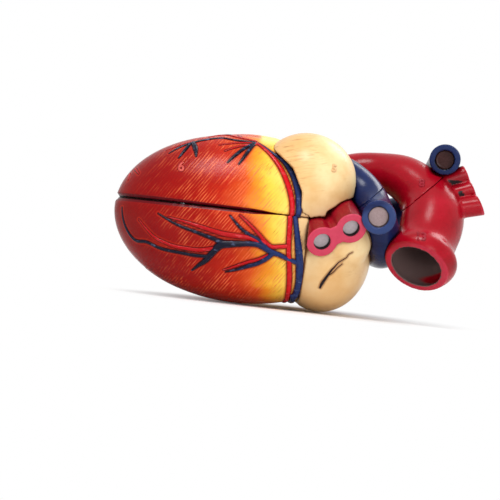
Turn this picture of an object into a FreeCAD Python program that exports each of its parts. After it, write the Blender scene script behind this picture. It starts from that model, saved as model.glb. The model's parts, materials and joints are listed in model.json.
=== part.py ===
"""Human heart teaching model, life size, in two halves that part along a flat frontal plane.

Working frame: X towards the head, Y towards the patient's right, Z towards the chest wall, with the
parting plane at Z = 0. Every sub-part is then placed so that the model lies on Z = 0 with the centre
of its footprint at the origin. Millimetres and degrees throughout.
"""
import FreeCAD, Part
import math
import os
from FreeCAD import Placement, Rotation, Vector

# ------------------------------------------------------------------ driving dimensions
SIZES = {
    # left ventricle, an ellipsoid: centre, half lengths, turn about Z
    "lv_x": -28, "lv_y": -16, "lv_z": -4, "lv_long": 65, "lv_wide": 33, "lv_deep": 42, "lv_yaw": 7,
    # its chamber
    "room_x": -30, "room_y": -20, "room_z": -10, "room_long": 48, "room_wide": 20, "room_deep": 24,
    # right ventricle, wrapped round the left one
    "rv_x": -24, "rv_y": 16, "rv_z": 6, "rv_long": 56, "rv_wide": 34, "rv_deep": 35, "rv_yaw": 32,
    "rv_wall": 5,
    # valve planes that close the ventricles: left one square to X, right one oblique
    "left_base": 4, "right_base": 0.25, "right_base_yaw": 43, "base_wall": 7,
    # left atrium and its auricle
    "la_x": 14, "la_y": -6, "la_z": -18, "la_long": 24, "la_wide": 36, "la_deep": 28, "atrium_wall": 4,
    "lobe_x": 17.5, "lobe_y": -25, "lobe_z": -9, "lobe_long": 19, "lobe_wide": 17.5, "lobe_deep": 17,
    "auricle_x": 1, "auricle_y": -23, "auricle_z": 17, "auricle_long": 25.5, "auricle_wide": 25,
    "auricle_deep": 25.5,
    # right atrium and its auricle
    "ra_x": 0, "ra_y": 36, "ra_z": -3, "ra_long": 38, "ra_wide": 24, "ra_deep": 30, "ra_yaw": -8,
    "ear_x": 10, "ear_y": 30, "ear_z": 22, "ear_long": 22, "ear_wide": 17, "ear_deep": 13, "ear_yaw": -25,
    # great vessels: outer radii and wall
    "aorta_root_r": 12, "aorta_waist_r": 9.5, "aorta_arch_r": 13.2, "aorta_end_r": 16, "aorta_wall": 3.5,
    "trunk_root_r": 14, "trunk_r": 11, "lung_artery_r": 8.4, "lung_artery_bore": 5, "right_artery_r": 9,
    "vena_cava_r": 8, "arm_vein_r": 7.9, "arm_vein_bore": 4.9, "right_arm_vein_r": 6.5,
    "lower_cava_r": 10,
    "lung_vein_r": 7.7, "lung_vein_waist_r": 4.8, "lung_vein_bore": 4.2, "right_vein_r": 7.5,
    "plug_depth": 3,
    "head_artery_r": 4.8, "neck_artery_r": 4.2, "arm_artery_r": 5.2, "branch_bore": 2.6,
    "branch_bore_depth": 5,
    # coronary relief
    "main_vessel_r": 1.7, "branch_vessel_r": 1.1, "tip_vessel_r": 0.5, "groove_vessel_r": 1.9,
    # valves and what holds them
    "mitral_r": 11, "tricuspid_r": 9.5, "leaflet_thick": 1.2, "leaflet_length": 14, "leaflet_gap": 1.2,
    "outflow_r": 8, "valve_ring": 1.4, "papillary_r": 4.5, "papillary_tip_r": 2, "chord_r": 0.6,
    # closing and mounting hardware
    "magnet_r": 3.5, "magnet_thick": 3, "pin_r": 1.5, "pin_length": 5, "pin_clearance": 0.15,
    "socket_r": 4, "socket_depth": 16, "socket_x": -30, "socket_y": 7, "socket_z": -28.5,
    "spot_face_r": 6,
    # edges and fits
    "seam_round": 1.3, "fit_gap": 0.3,
    # where the finished model stands
    "seam_height": 46, "origin_x": 0.19, "origin_y": 4.45,
}

doc = FreeCAD.newDocument("heart_model")
sheet = doc.addObject("Spreadsheet::Sheet", "Sizes")
for row, (alias, value) in enumerate(SIZES.items(), start=1):
    sheet.set(f"A{row}", alias.replace("_", " "))
    sheet.set(f"B{row}", str(value))
    sheet.setAlias(f"B{row}", alias)
doc.recompute()

SPACE = 400          # side of the boxes that stand for a half space
FINAL = {}           # node name -> document object


def size(alias):
    """The value of one cell of the sheet."""
    return float(sheet.get(alias))


def bind(obj, **cells):
    """Ties properties of obj to expressions in the sheet's aliases."""
    for prop, formula in cells.items():
        for alias in sorted(SIZES, key=len, reverse=True):
            formula = formula.replace(f"<{alias}>", f"Sizes.{alias}")
        obj.setExpression(prop.replace("__", "."), formula)
    return obj


# ------------------------------------------------------------------ form helpers
def ellipsoid(name, prefix, shrink="0", angle=None):
    """Part::Ellipsoid from the cells prefix_x, _y, _z, _long, _wide, _deep, made smaller by shrink.

    angle names the cell with its turn about Z; without it prefix_yaw is used if there is one."""
    angle = angle or f"{prefix}_yaw"
    turned = size(angle) if angle in SIZES else 0
    obj = doc.addObject("Part::Ellipsoid", name)
    obj.Placement = Placement(Vector(size(f"{prefix}_x"), size(f"{prefix}_y"), size(f"{prefix}_z")),
                              Rotation(Vector(0, 0, 1), turned))
    bind(obj, Radius1=f"<{prefix}_deep> - ({shrink})", Radius2=f"<{prefix}_long> - ({shrink})",
         Radius3=f"<{prefix}_wide> - ({shrink})")
    bind(obj, Placement__Base__x=f"<{prefix}_x>", Placement__Base__y=f"<{prefix}_y>",
         Placement__Base__z=f"<{prefix}_z>")
    return obj


def cut(name, base, *tools):
    """base less every tool, one Part::Cut after another."""
    for i, tool in enumerate(tools):
        obj = doc.addObject("Part::Cut", name if i == len(tools) - 1 else f"{name}_step")
        obj.Base, obj.Tool = base, tool
        base = obj
    return base


def fuse(name, *parts):
    obj = doc.addObject("Part::MultiFuse", name)
    obj.Shapes, obj.Refine = list(parts), False
    return obj


def common(name, a, b):
    obj = doc.addObject("Part::Common", name)
    obj.Base, obj.Tool = a, b
    return obj


def half_space(name, point, normal):
    """A large box whose one face holds point and whose inside lies along normal."""
    obj = doc.addObject("Part::Box", name)
    obj.Length = obj.Width = obj.Height = SPACE
    turn = Rotation(Vector(0, 0, 1), Vector(*normal))
    corner = turn.multVec(Vector(-SPACE / 2, -SPACE / 2, 0))
    obj.Placement = Placement(Vector(*point) + corner, turn)
    return obj


def cylinder(name, start, direction, radius, length):
    """A cylinder from start along direction; radius and length are sheet formulas."""
    obj = doc.addObject("Part::Cylinder", name)
    obj.Placement = Placement(Vector(*start), Rotation(Vector(0, 0, 1), Vector(*direction)))
    return bind(obj, Radius=radius, Height=length)


def cone(name, start, direction, radius, tip_radius, length):
    obj = doc.addObject("Part::Cone", name)
    obj.Placement = Placement(Vector(*start), Rotation(Vector(0, 0, 1), Vector(*direction)))
    return bind(obj, Radius1=radius, Radius2=tip_radius, Height=length)


def vessel(name, route, radii, shrink="0"):
    """A tube lofted through circles that stand square to a smooth curve through the route.

    radii holds one sheet formula per point; shrink turns the outside into its bore."""
    points = [Vector(*p) for p in route]
    line = Part.BSplineCurve()
    line.interpolate(points)
    sections = []
    side = Vector(0, 0, 1)
    for i, (point, radius) in enumerate(zip(points, radii)):
        ring = doc.addObject("Part::Circle", f"{name}_ring{i}")
        ahead = Vector(*line.tangent(line.parameter(point))[0])
        side = side - ahead * side.dot(ahead)
        side.normalize()
        ring.Placement = Placement(point, Rotation(side, ahead.cross(side), ahead, "ZXY"))
        bind(ring, Radius=f"({radius}) - ({shrink})")
        sections.append(ring)
    obj = doc.addObject("Part::Loft", name)
    obj.Sections, obj.Solid, obj.Ruled = sections, True, False
    return obj


def along(start, direction, distance):
    """The point at distance from start along direction."""
    return tuple(Vector(*start) + Vector(*direction).normalize() * distance)


def keep(node, obj):
    """Names obj as the finished sub-part node."""
    obj.Label = node
    FINAL[node] = obj
    return obj


# ------------------------------------------------------------------ ventricles
lv = ellipsoid("LvForm", "lv")
rv = ellipsoid("RvForm", "rv")
outer = fuse("VentriclesForm", lv, rv)

BASE_NORMAL = Rotation(Vector(0, 0, 1), size("right_base_yaw")).multVec(Vector(1, 0, 0))
right_base_point = BASE_NORMAL * size("right_base")
past_left_base = half_space("PastLeftBase", (size("left_base"), 0, 0), (1, 0, 0))
past_right_base = half_space("PastRightBase", right_base_point, BASE_NORMAL)
ventricles = cut("Ventricles", outer, past_left_base, past_right_base)

TRUNK_ROUTE = [(-14, -5, 21.5), (-6, -10, 22), (4, -13, 22.3), (15, -15, 22), (25, -18, 18.6),
               (31, -22, 14.5), (34.8, -29, 9.8), (36.7, -38, 6.2), (37.1, -50, 3.9)]
TRUNK_RADII = ["<trunk_root_r> + 1.5", "<trunk_root_r> + 1", "<trunk_root_r>", "<trunk_r> + 1.5",
               "<trunk_r>", "<trunk_r> - 1", "<lung_artery_r> + 0.7", "<lung_artery_r>",
               "<lung_artery_r>"]
AORTA_ROUTE = [(-6, 1, 6), (3.5, 6, 10), (14, 11, 19), (27, 14.5, 27.5), (40, 12, 29.5), (50, 7, 27.5),
               (61, 0, 20), (66.6, -7, 10.5), (65.8, -14.5, 0.5), (63.2, -22, -9), (59.6, -29.5, -17.7)]
AORTA_RADII = ["<aorta_root_r>", "<aorta_root_r>", "<aorta_root_r> - 1", "<aorta_waist_r> + 0.5",
               "<aorta_waist_r>", "(<aorta_waist_r> + <aorta_arch_r>) / 2", "<aorta_arch_r>",
               "<aorta_arch_r> + 2.4", "<aorta_end_r> - 0.4", "<aorta_end_r> - 0.2", "<aorta_end_r>"]

trunk_form = vessel("TrunkForm", TRUNK_ROUTE, TRUNK_RADII)
aorta_form = vessel("AortaForm", AORTA_ROUTE, AORTA_RADII)
aorta_bore = vessel("AortaBore", AORTA_ROUTE, AORTA_RADII, "<aorta_wall>")

# the chambers: the left one in the middle of its wall, the right one outside the left ventricle
lv_room = cut("LvRoom", ellipsoid("LvRoomForm", "room", angle="lv_yaw"),
              half_space("LvRoomEnd", (size("left_base") - size("base_wall"), 0, 0), (1, 0, 0)))
rv_room = cut("RvRoom", ellipsoid("RvInner", "rv", "<rv_wall>"), lv,
              half_space("RvRoomEnd", right_base_point - BASE_NORMAL * size("base_wall"), BASE_NORMAL))

MITRAL = (size("left_base") - size("base_wall"), -19, -15)
BASE_ALONG = Vector(-BASE_NORMAL.y, BASE_NORMAL.x, 0)
TRICUSPID = tuple(right_base_point - BASE_NORMAL * size("base_wall") + BASE_ALONG * 42.1
                  + Vector(0, 0, -11))
LV_OUT, LV_OUT_WAY = (-20, -11, 7), (23.5, 17, 3)
TRUNK_MOUTH, TRUNK_WAY = (3, -12.6, 23), (12, -2.2, -0.9)
mitral_door = cylinder("MitralDoor", along(MITRAL, (1, 0, 0), -1), (1, 0, 0), "<mitral_r>",
                       "<base_wall> + 2")
tricuspid_door = cylinder("TricuspidDoor", along(TRICUSPID, BASE_NORMAL, -1), BASE_NORMAL,
                          "<tricuspid_r>", "<base_wall> + 2")
lv_outflow = cylinder("LvOutflow", LV_OUT, LV_OUT_WAY, "<outflow_r>", "30")
rv_outflow = vessel("RvOutflow", [(-34, 22, 20), (-20, 8, 25.5), (-9, -6, 26.5), TRUNK_MOUTH,
                                  along(TRUNK_MOUTH, TRUNK_WAY, 12.2)],
                    ["<outflow_r> - 1"] * 3 + ["<outflow_r>"] * 2)

# ------------------------------------------------------------------ heart muscle, in two halves
BACK = half_space("BackSpace", (0, 0, 0), (0, 0, -1))
FRONT = half_space("FrontSpace", (0, 0, 0), (0, 0, 1))
conus = common("Conus", trunk_form, half_space("BelowTrunk", (6, 0, 0), (-1, 0, 0)))
wall_form = fuse("WallForm", ventricles, conus)


def rounded(name, solid):
    """solid with its curved edges on the parting plane rounded."""
    doc.recompute()
    obj = doc.addObject("Part::Fillet", name)
    obj.Base = solid
    edges = []
    for i, edge in enumerate(solid.Shape.Edges, start=1):
        flat = max(abs(v.Point.z) for v in edge.Vertexes) < 1e-3
        middle = edge.valueAt((edge.FirstParameter + edge.LastParameter) / 2)
        if flat and abs(middle.z) < 1e-3 and edge.Curve.TypeId != "Part::GeomLine":
            edges.append((i, size("seam_round"), size("seam_round")))
    obj.Edges = edges
    return obj


back_form = rounded("BackForm", common("BackFormSharp", wall_form, BACK))
front_form = rounded("FrontForm", common("FrontFormSharp", wall_form, FRONT))

MAGNET_SPOTS = [(-28, -44.5), (-84, -23.5), (-40, 6.5)]
PIN_SPOTS = [(-58, -44), (-12, 10.5)]
rooms = fuse("Rooms", lv_room, mitral_door, tricuspid_door, lv_outflow)
socket_start = (size("socket_x"), size("socket_y"), size("socket_z"))
socket = cylinder("Socket", socket_start, (0, 0, 1), "<socket_r>", "<socket_depth>")
spot_face = cylinder("SpotFace", socket_start, (0, 0, -1), "<spot_face_r>", "20")
back_magnets = [cylinder(f"BackMagnet{i}", (x, y, 0), (0, 0, -1), "<magnet_r>", "<magnet_thick>")
                for i, (x, y) in enumerate(MAGNET_SPOTS)]
front_magnets = [cylinder(f"FrontMagnet{i}", (x, y, 0), (0, 0, 1), "<magnet_r>", "<magnet_thick>")
                 for i, (x, y) in enumerate(MAGNET_SPOTS)]
pins = [cylinder(f"Pin{i}", (x, y, -size("pin_length")), (0, 0, 1), "<pin_r>", "2 * <pin_length>")
        for i, (x, y) in enumerate(PIN_SPOTS)]
pin_holes = [cylinder(f"PinHole{i}", (x, y, -size("pin_length")), (0, 0, 1),
                      "<pin_r> + <pin_clearance>", "2 * <pin_length> + 1")
             for i, (x, y) in enumerate(PIN_SPOTS)]

keep("back_ventricle_wall", cut("BackWall", back_form, rooms, rv_room, socket, spot_face,
                                *back_magnets, *pins))
keep("front_ventricle_wall", cut("FrontWall", front_form, rooms, rv_room, rv_outflow,
                                 *front_magnets, *pin_holes))
keep("back_magnets", fuse("BackMagnets", *back_magnets))
keep("front_magnets", fuse("FrontMagnets", *front_magnets))
keep("locating_pins", fuse("Pins", *pins))

# ------------------------------------------------------------------ shared forms of the base
la = fuse("LaForm", ellipsoid("LaBody", "la"), ellipsoid("LaLobe", "lobe"))
la_room = ellipsoid("LaRoom", "la", "<atrium_wall>")
ra = ellipsoid("RaForm", "ra")
ra_room = ellipsoid("RaRoom", "ra", "<atrium_wall>")
ear = ellipsoid("EarForm", "ear")
auricle = ellipsoid("AuricleForm", "auricle")

SEAM_NORMAL = (-0.717, 0, 0.697)
arch_side = half_space("ArchSide", (61, 0, 19.75), (0.717, 0, -0.697))
rise_side = half_space("RiseSide", (61, 0, 19.75), SEAM_NORMAL)
lung_side = half_space("LungSide", (33, 0, 13), (0.717, 0, -0.697))
trunk_side = half_space("TrunkSide", (33, 0, 13), SEAM_NORMAL)
# beside the lung veins the parting steps up, so that the back half holds all of the veins' seat
below_auricle = half_space("BelowAuricle", (7, 0, 1), (0.55, 0, -0.835))
left_of_middle = half_space("LeftOfMiddle", (0, -2, 0), (0, -1, 0))
vein_seat = common("VeinSeat", common("VeinSeatSide", below_auricle, left_of_middle),
                   half_space("HeadwardOfStep", (12, 0, 0), (1, 0, 0)))
arch_clear = vessel("ArchClear", AORTA_ROUTE[4:], AORTA_RADII[4:], "-<fit_gap>")
lung_clear = vessel("LungClear", TRUNK_ROUTE[5:], TRUNK_RADII[5:], "-<fit_gap>")
trunk_clear = vessel("TrunkClear", TRUNK_ROUTE[1:7], TRUNK_RADII[1:7], "-<fit_gap>")

# ------------------------------------------------------------------ left lung veins
VEIN_WAY = Vector(0.25, -0.88, -0.4).normalize()
VEIN_FACES = [Vector(11.4, -47.8, -11), Vector(24.7, -47.65, -3)]


def veins(name, radius, back=22, ahead=0):
    """The pair of left lung veins as plain cylinders, back behind their faces and ahead of them."""
    return [cylinder(f"{name}{i}", tuple(face - VEIN_WAY * back), VEIN_WAY, radius, f"{back + ahead}")
            for i, face in enumerate(VEIN_FACES)]


def joined_veins(name, gap, back=22, ahead=0):
    """Both veins and the waist between them, gap mm larger all round."""
    middle = (VEIN_FACES[0] + VEIN_FACES[1]) / 2
    waist = cylinder(f"{name}Waist", tuple(middle - VEIN_WAY * back), VEIN_WAY,
                     f"<lung_vein_waist_r> + {gap}", f"{back + ahead}")
    return fuse(name, *veins(f"{name}Tube", f"<lung_vein_r> + {gap}", back, ahead), waist)


vein_form = joined_veins("VeinForm", "0")
vein_clear = joined_veins("VeinClear", "<fit_gap>", 23, 4)
vein_holes = veins("VeinHoles", "<lung_vein_bore>", size("plug_depth"), 1)
lung_form = common("LungForm", trunk_form, lung_side)
groove_side = common("GrooveSide", half_space("BeforeLeftBase", (size("left_base"), 0, 0), (-1, 0, 0)),
                     left_of_middle)
keep("left_pulmonary_veins", cut("LeftVeins", vein_form, *vein_holes, la_room, groove_side, wall_form,
                                 lung_form))

RIGHT_VEIN_WAY = Vector(0.05, 1, -0.12).normalize()
RIGHT_VEINS = [(12, 14, -27), (27, 14, -23)]
right_vein_form = fuse("RightVeinForm", *[cylinder(f"RightVein{i}", spot, RIGHT_VEIN_WAY,
                                                   "<right_vein_r>", "41")
                                          for i, spot in enumerate(RIGHT_VEINS)])
right_vein_holes = [cylinder(f"RightVeinHole{i}", along(spot, RIGHT_VEIN_WAY, 38), RIGHT_VEIN_WAY,
                             "<lung_vein_bore>", "4") for i, spot in enumerate(RIGHT_VEINS)]
keep("right_pulmonary_veins", cut("RightVeins", right_vein_form, *right_vein_holes, la_room, ra,
                                  wall_form))

# ------------------------------------------------------------------ atria
back_la = common("BackLa", la, fuse("BackLaSpace", BACK, vein_seat))
keep("left_atrium", cut("LeftAtrium", back_la, la_room, wall_form, groove_side, ra, vein_form,
                        right_vein_form, lung_form, trunk_clear))
ra_behind = common("RaBehindBase", ra, past_right_base)
keep("right_atrium", cut("RightAtrium", common("BackRa", ra_behind, BACK), ra_room, wall_form))

# ------------------------------------------------------------------ great arteries
front_rise = common("FrontRise", common("RiseHalf", aorta_form, rise_side), FRONT)
keep("ascending_aorta", cut("AscendingAorta", front_rise, aorta_bore, wall_form))
keep("aortic_arch", cut("AorticArch", common("ArchHalf", aorta_form, arch_side), aorta_bore))

BRANCHES = {
    "brachiocephalic_artery": ((64, -2, 23.5), (0.9, 0, 0.43), "<head_artery_r>"),
    "left_common_carotid_artery": ((68, -5, 18), (0.93, 0, 0.36), "<neck_artery_r>"),
    "left_subclavian_artery": ((70, -9, 11.5), (0.96, 0, 0.26), "<arm_artery_r>"),
}
beyond_cut = half_space("BeyondCut", (86.8, 0, 24), (0.88, 0, 0.47))
taken = [aorta_form]
for node, (start, way, radius) in BRANCHES.items():
    tube = cylinder(f"{node}_tube", start, way, radius, "40")
    length = Vector(86.8 - start[0], 0, 24 - start[2]).dot(Vector(0.88, 0, 0.47))
    length /= Vector(*way).normalize().dot(Vector(0.88, 0, 0.47))
    hole = cylinder(f"{node}_hole", along(start, way, length - size("branch_bore_depth")), way,
                    "<branch_bore>", "20")
    keep(node, cut(node, tube, beyond_cut, hole, *taken))
    taken.append(tube)

lung_face = TRUNK_ROUTE[-1]
lung_way = Vector(*TRUNK_ROUTE[-1]) - Vector(*TRUNK_ROUTE[-2])
lung_hole = cylinder("LungHole", along(lung_face, lung_way, -size("plug_depth")), lung_way,
                     "<lung_artery_bore>", "<plug_depth> + 3")
keep("left_pulmonary_artery", cut("LeftLungArtery", lung_form, lung_hole))
RIGHT_ARTERY = [(37, -31, 7), (41.5, -23, -3), (44, -11, -10), (43, 6, -11.5), (39, 30, -11),
                (37, 53, -10)]
right_artery_form = vessel("RightArteryForm", RIGHT_ARTERY, ["<right_artery_r> - 1.5"]
                           + ["<right_artery_r>"] * 3 + ["<right_artery_r> - 0.5"] * 2)
right_artery_hole = cylinder("RightArteryHole", along(RIGHT_ARTERY[-1], (-2, 23, 1), -4), (-2, 23, 1),
                             "<lung_artery_bore>", "8")
keep("right_pulmonary_artery",
     cut("RightLungArtery", common("RightArteryBelow", right_artery_form, lung_side), right_artery_hole,
         la, ra, aorta_form, lung_form, vein_form, right_vein_form,
         half_space("AboveArtery", (0, 0, 12), (0, 0, 1))))
keep("pulmonary_trunk", cut("PulmonaryTrunk", common("TrunkHalf", trunk_form, trunk_side),
                            wall_form, rv_outflow, vein_clear, aorta_form))

# ------------------------------------------------------------------ great veins
CAVA_ROUTE = [(20, 34, 8.3), (33, 34, 8.3), (47, 33.5, 8.6), (59, 30, 14), (67, 23, 25), (70.5, 12, 35),
              (70.8, 0, 38.4), (69.5, -12, 37.7)]
cava_form = vessel("CavaForm", CAVA_ROUTE, ["<vena_cava_r>"] * 5 + ["<arm_vein_r>"] * 3)
cava_end = half_space("CavaEnd", (66, 24, 23), (0.5, -0.5, 0.7))
left_hole = cylinder("ArmVeinHole", along(CAVA_ROUTE[-1], (-0.1, -1, -0.05), -6), (-0.1, -1, -0.05),
                     "<arm_vein_bore>", "12")
right_arm_form = vessel("RightArmForm", [(64, 26, 20), (72, 32, 25), (80, 39, 27)],
                        ["<right_arm_vein_r>"] * 3)
right_arm_hole = cylinder("RightArmHole", along((80, 39, 27), (8, 7, 2), -4), (8, 7, 2),
                          "<branch_bore> + 1.2", "8")
branch_clear = [cylinder(f"BranchClear{i}", start, way, f"{radius} + <fit_gap>", "40")
                for i, (start, way, radius) in enumerate(BRANCHES.values())]
keep("superior_vena_cava", cut("UpperCava", cava_form, cava_end, wall_form, arch_clear, *branch_clear,
                               half_space("BelowSeam", (0, 0, 0), (0, 0, -1))))
keep("left_brachiocephalic_vein", cut("LeftArmVein", common("ArmVeinPart", cava_form, cava_end),
                                      left_hole, arch_clear, *branch_clear))
keep("right_brachiocephalic_vein", cut("RightArmVein", right_arm_form, right_arm_hole, cava_form,
                                       arch_clear, *branch_clear))
LOWER_CAVA = [(-16, 43, -12.5), (-32, 48, -14.5), (-45, 50, -15.5)]
lower_cava_form = vessel("LowerCavaForm", LOWER_CAVA, ["<lower_cava_r>"] * 3)
lower_cava_hole = cylinder("LowerCavaHole", along(LOWER_CAVA[-1], (-13, 2, -1), -5), (-13, 2, -1),
                           "<lower_cava_r> - 3", "9")
keep("inferior_vena_cava", cut("LowerCava", lower_cava_form, lower_cava_hole, ra, wall_form))

# ------------------------------------------------------------------ auricles
beside_groove = common("BesideGroove", half_space("LeftOfGroove", (-0.3, 0, 1), (-1, 0, -0.07)),
                       common("OverGroove",
                              half_space("InsideGroove", (-2, 0, 14), (-0.894, 0, -0.447)),
                              half_space("UnderGroove", (-6.7, 0, 23.4), (-0.62, 0, -0.78))))
auricle_form = cut("AuricleTrimmed", auricle, vein_seat, beside_groove)
la_roof = cut("LaRoof", common("LaRoofWhole", la, FRONT), vein_seat)
keep("left_auricle",
     cut("LeftAuricle", common("AuricleUp", fuse("AuricleJoined", auricle_form, la_roof), FRONT), la_room,
         wall_form, trunk_form, aorta_form, ra, vein_clear, lung_clear))
keep("right_auricle",
     cut("RightAuricle", common("EarUp", fuse("EarJoined", ear, ra_behind), FRONT), ra_room, wall_form,
         aorta_form, trunk_form, cava_form, auricle_form))

# ------------------------------------------------------------------ valves, papillary muscles, cords
def valve(name, centre, way, radius, tip, length, ring_length, leaflets):
    """A ring with a slit cone of leaflets: centre is where they meet, way points downstream."""
    upstream = tuple(-v for v in way)
    ring = cut(f"{name}_ring", cylinder(f"{name}_ringOut", centre, upstream, radius, ring_length),
               cylinder(f"{name}_ringIn", centre, upstream, f"{radius} - <valve_ring>", ring_length))
    shell = cut(f"{name}_shell", cone(f"{name}_out", centre, way, radius, tip, length),
                cone(f"{name}_in", centre, way, f"{radius} - <leaflet_thick>",
                     f"{tip} - <leaflet_thick>", length))
    slits = []
    for i in range(leaflets):
        slit = doc.addObject("Part::Box", f"{name}_slit{i}")
        turn = Rotation(Vector(0, 0, 1), Vector(*way))
        turn = turn * Rotation(Vector(0, 0, 1), 90 + 360 / leaflets * i)
        corner = turn.multVec(Vector(0, -size("leaflet_gap") / 2, 1.5))
        slit.Placement = Placement(Vector(*centre) + corner, turn)
        bind(slit, Width="<leaflet_gap>", Length="20", Height="<leaflet_length> + 2")
        slits.append(slit)
    return ring, cut(f"{name}_leaflets", shell, *slits)


DOWN_RIGHT = tuple(-BASE_NORMAL)
mitral = valve("Mitral", MITRAL, (-1, 0, 0), "<mitral_r>", "<mitral_r> - 4.5", "<leaflet_length>",
               "<base_wall>", 2)
keep("mitral_valve", fuse("MitralValve", *mitral))
tricuspid = valve("Tricuspid", TRICUSPID, DOWN_RIGHT, "<tricuspid_r>", "<tricuspid_r> - 3.5",
                  "<leaflet_length> - 2", "<base_wall>", 3)
keep("tricuspid_valve", fuse("TricuspidValve", tricuspid[0],
                             common("TricuspidLeaflets", tricuspid[1], rv_room)))
aortic = valve("Aortic", along(LV_OUT, LV_OUT_WAY, 15), LV_OUT_WAY, "<outflow_r>", "1.8", "5", "3", 3)
keep("aortic_valve", fuse("AorticValve", *aortic))
lung_ring, lung_cusps = valve("Lung", along(TRUNK_MOUTH, TRUNK_WAY, 4), TRUNK_WAY, "<outflow_r> + 0.4",
                              "1.8", "5", "3", 3)
keep("pulmonary_valve", common("LungValve", fuse("LungValveFull", lung_ring, lung_cusps), rv_outflow))

PAPILLARY = [((-77, -27, -23), (-46, -23, -20)), ((-77, -14, -19), (-46, -16, -15.5))]
RIGHT_PAPILLARY = ((-68, 20, -12.5), (-51, 23.5, -12))


def papillary(name, start, tip):
    way = Vector(*tip) - Vector(*start)
    return cone(name, start, way, "<papillary_r>", "<papillary_tip_r>", f"{way.Length}")


def cords(name, start, ends):
    """Thin cords from start to each of the ends."""
    lines = []
    for i, end in enumerate(ends):
        way = Vector(*end) - Vector(*start)
        lines.append(cylinder(f"{name}{i}", start, way, "<chord_r>", f"{way.Length}"))
    return lines


left_papillary = [common(f"LeftPapillary{i}", papillary(f"LeftPapillaryCone{i}", *ends), lv_room)
                  for i, ends in enumerate(PAPILLARY)]
right_papillary = common("RightPapillary", papillary("RightPapillaryCone", *RIGHT_PAPILLARY), rv_room)
keep("papillary_muscles", fuse("PapillaryMuscles", *left_papillary, right_papillary))

LEAFLET_ENDS = [[(-15.5, -26.2, -15), (-15.5, -24, -20.2), (-15.5, -21, -22)],
                [(-15.5, -11.8, -15), (-15.5, -13.5, -10.3), (-15.5, -15, -21)]]
left_cords = [c for i, ends in enumerate(LEAFLET_ENDS)
              for c in cords(f"LeftCord{i}", along(PAPILLARY[i][1], (-1, 0, 0), 1), ends)]
RIGHT_ENDS = [tuple(Vector(*TRICUSPID) - BASE_NORMAL * 8 + Vector(*v))
              for v in [(-4.2, 4.5, 3), (-4.6, 4.8, -1.5)]]
right_cords = cords("RightCord", along(RIGHT_PAPILLARY[1], (-1, 0, 0), 1), RIGHT_ENDS)
keep("chordae_tendineae",
     cut("Cords", common("CordsInside", fuse("CordsForm", *left_cords, *right_cords),
                         fuse("RoomsInside", lv_room, rv_room)),
         *left_papillary, right_papillary, *mitral, *tricuspid))


# ------------------------------------------------------------------ vessels on the heart's skin
def ray_exit(prefix, origin, way):
    """How far along way a line from origin leaves the ellipsoid prefix, or None if it misses."""
    turn = Rotation(Vector(0, 0, 1), -size(f"{prefix}_yaw"))
    centre = Vector(*[size(f"{prefix}_{a}") for a in "xyz"])
    half = [size(f"{prefix}_{a}") for a in ("long", "wide", "deep")]
    o = turn.multVec(origin - centre)
    w = turn.multVec(way)
    a = sum((w[i] / half[i]) ** 2 for i in range(3))
    b = 2 * sum(o[i] * w[i] / half[i] ** 2 for i in range(3))
    c = sum((o[i] / half[i]) ** 2 for i in range(3)) - 1
    root = b * b - 4 * a * c
    return None if root < 0 else (-b + math.sqrt(root)) / (2 * a)


def skin(x, y, z, way):
    """The point where a line from (x, y, z) along way leaves the ventricles."""
    origin = Vector(x, y, z)
    way = Vector(*way).normalize()
    exits = [ray_exit(prefix, origin, way) for prefix in ("lv", "rv")]
    exits = [e for e in exits if e is not None]
    return tuple(origin + way * max(exits)) if exits else skin(x * 0.97 - 0.9, y, z * 0.96, way)


def left_side(*spots):
    """Skin points seen square from the left at the given (x, z) spots."""
    return [skin(x, 0, z, (0, -1, 0)) for x, z in spots]


def tapered(first, last, count):
    """count formulas from the cell first to the cell last."""
    steps = [i / (count - 1) for i in range(count)]
    return [f"<{first}> * {1 - t:.3f} + <{last}> * {t:.3f}" for t in steps]


def skin_vessel(name, route, first="branch_vessel_r", last="tip_vessel_r"):
    return vessel(name, route, tapered(first, last, len(route)))


def ring_route(angles, inset, x_centre=-20, y_centre=19, z_centre=4):
    """Skin points round the right base, at angles from the right side towards the chest wall."""
    centre = Vector(x_centre, y_centre, z_centre) - BASE_NORMAL * inset
    across = Vector(-BASE_NORMAL.y, BASE_NORMAL.x, 0)
    route = []
    for angle in angles:
        turn = math.radians(angle)
        route.append(skin(*centre, across * math.cos(turn) + Vector(0, 0, math.sin(turn))))
    return route


def under(spots):
    """Skin points below the (x, y) spots."""
    return [skin(x, y, 0, (0, 0, -1)) for x, y in spots]


def over(spots):
    """Skin points above the (x, y) spots."""
    return [skin(x, y, 0, (0, 0, 1)) for x, y in spots]


back_arteries = [
    skin_vessel("BackArtery0", left_side((-5.2, 1.5), (-4.6, -14.1), (-3.8, -25), (-3.2, -35))
                + under([(-3, -12), (-3.4, -4.5)]), "main_vessel_r", "branch_vessel_r"),
    skin_vessel("BackArtery1", left_side((-4.6, -14), (-12.7, -16.2), (-19.3, -11.3), (-23.8, -7.8),
                                         (-30.5, -2.5))),
    skin_vessel("BackArtery2", left_side((-15.7, -14.4), (-25.1, -12.5), (-35.8, -12), (-50.2, -10.1),
                                         (-64.5, -7.9))),
    skin_vessel("BackArtery3", left_side((-40.2, -19.2), (-48.8, -21.3), (-59.4, -21.3), (-70.3, -18.7),
                                         (-78.7, -11.1))),
    skin_vessel("BackArtery4", ring_route([3, -15, -35, -55, -75], 4), "main_vessel_r",
                "branch_vessel_r"),
    skin_vessel("BackArtery5", under([(-8, -4), (-20, -6.8), (-30, -8.6), (-42, -10.5), (-60, -13),
                                      (-72, -17)])),
]
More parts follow.
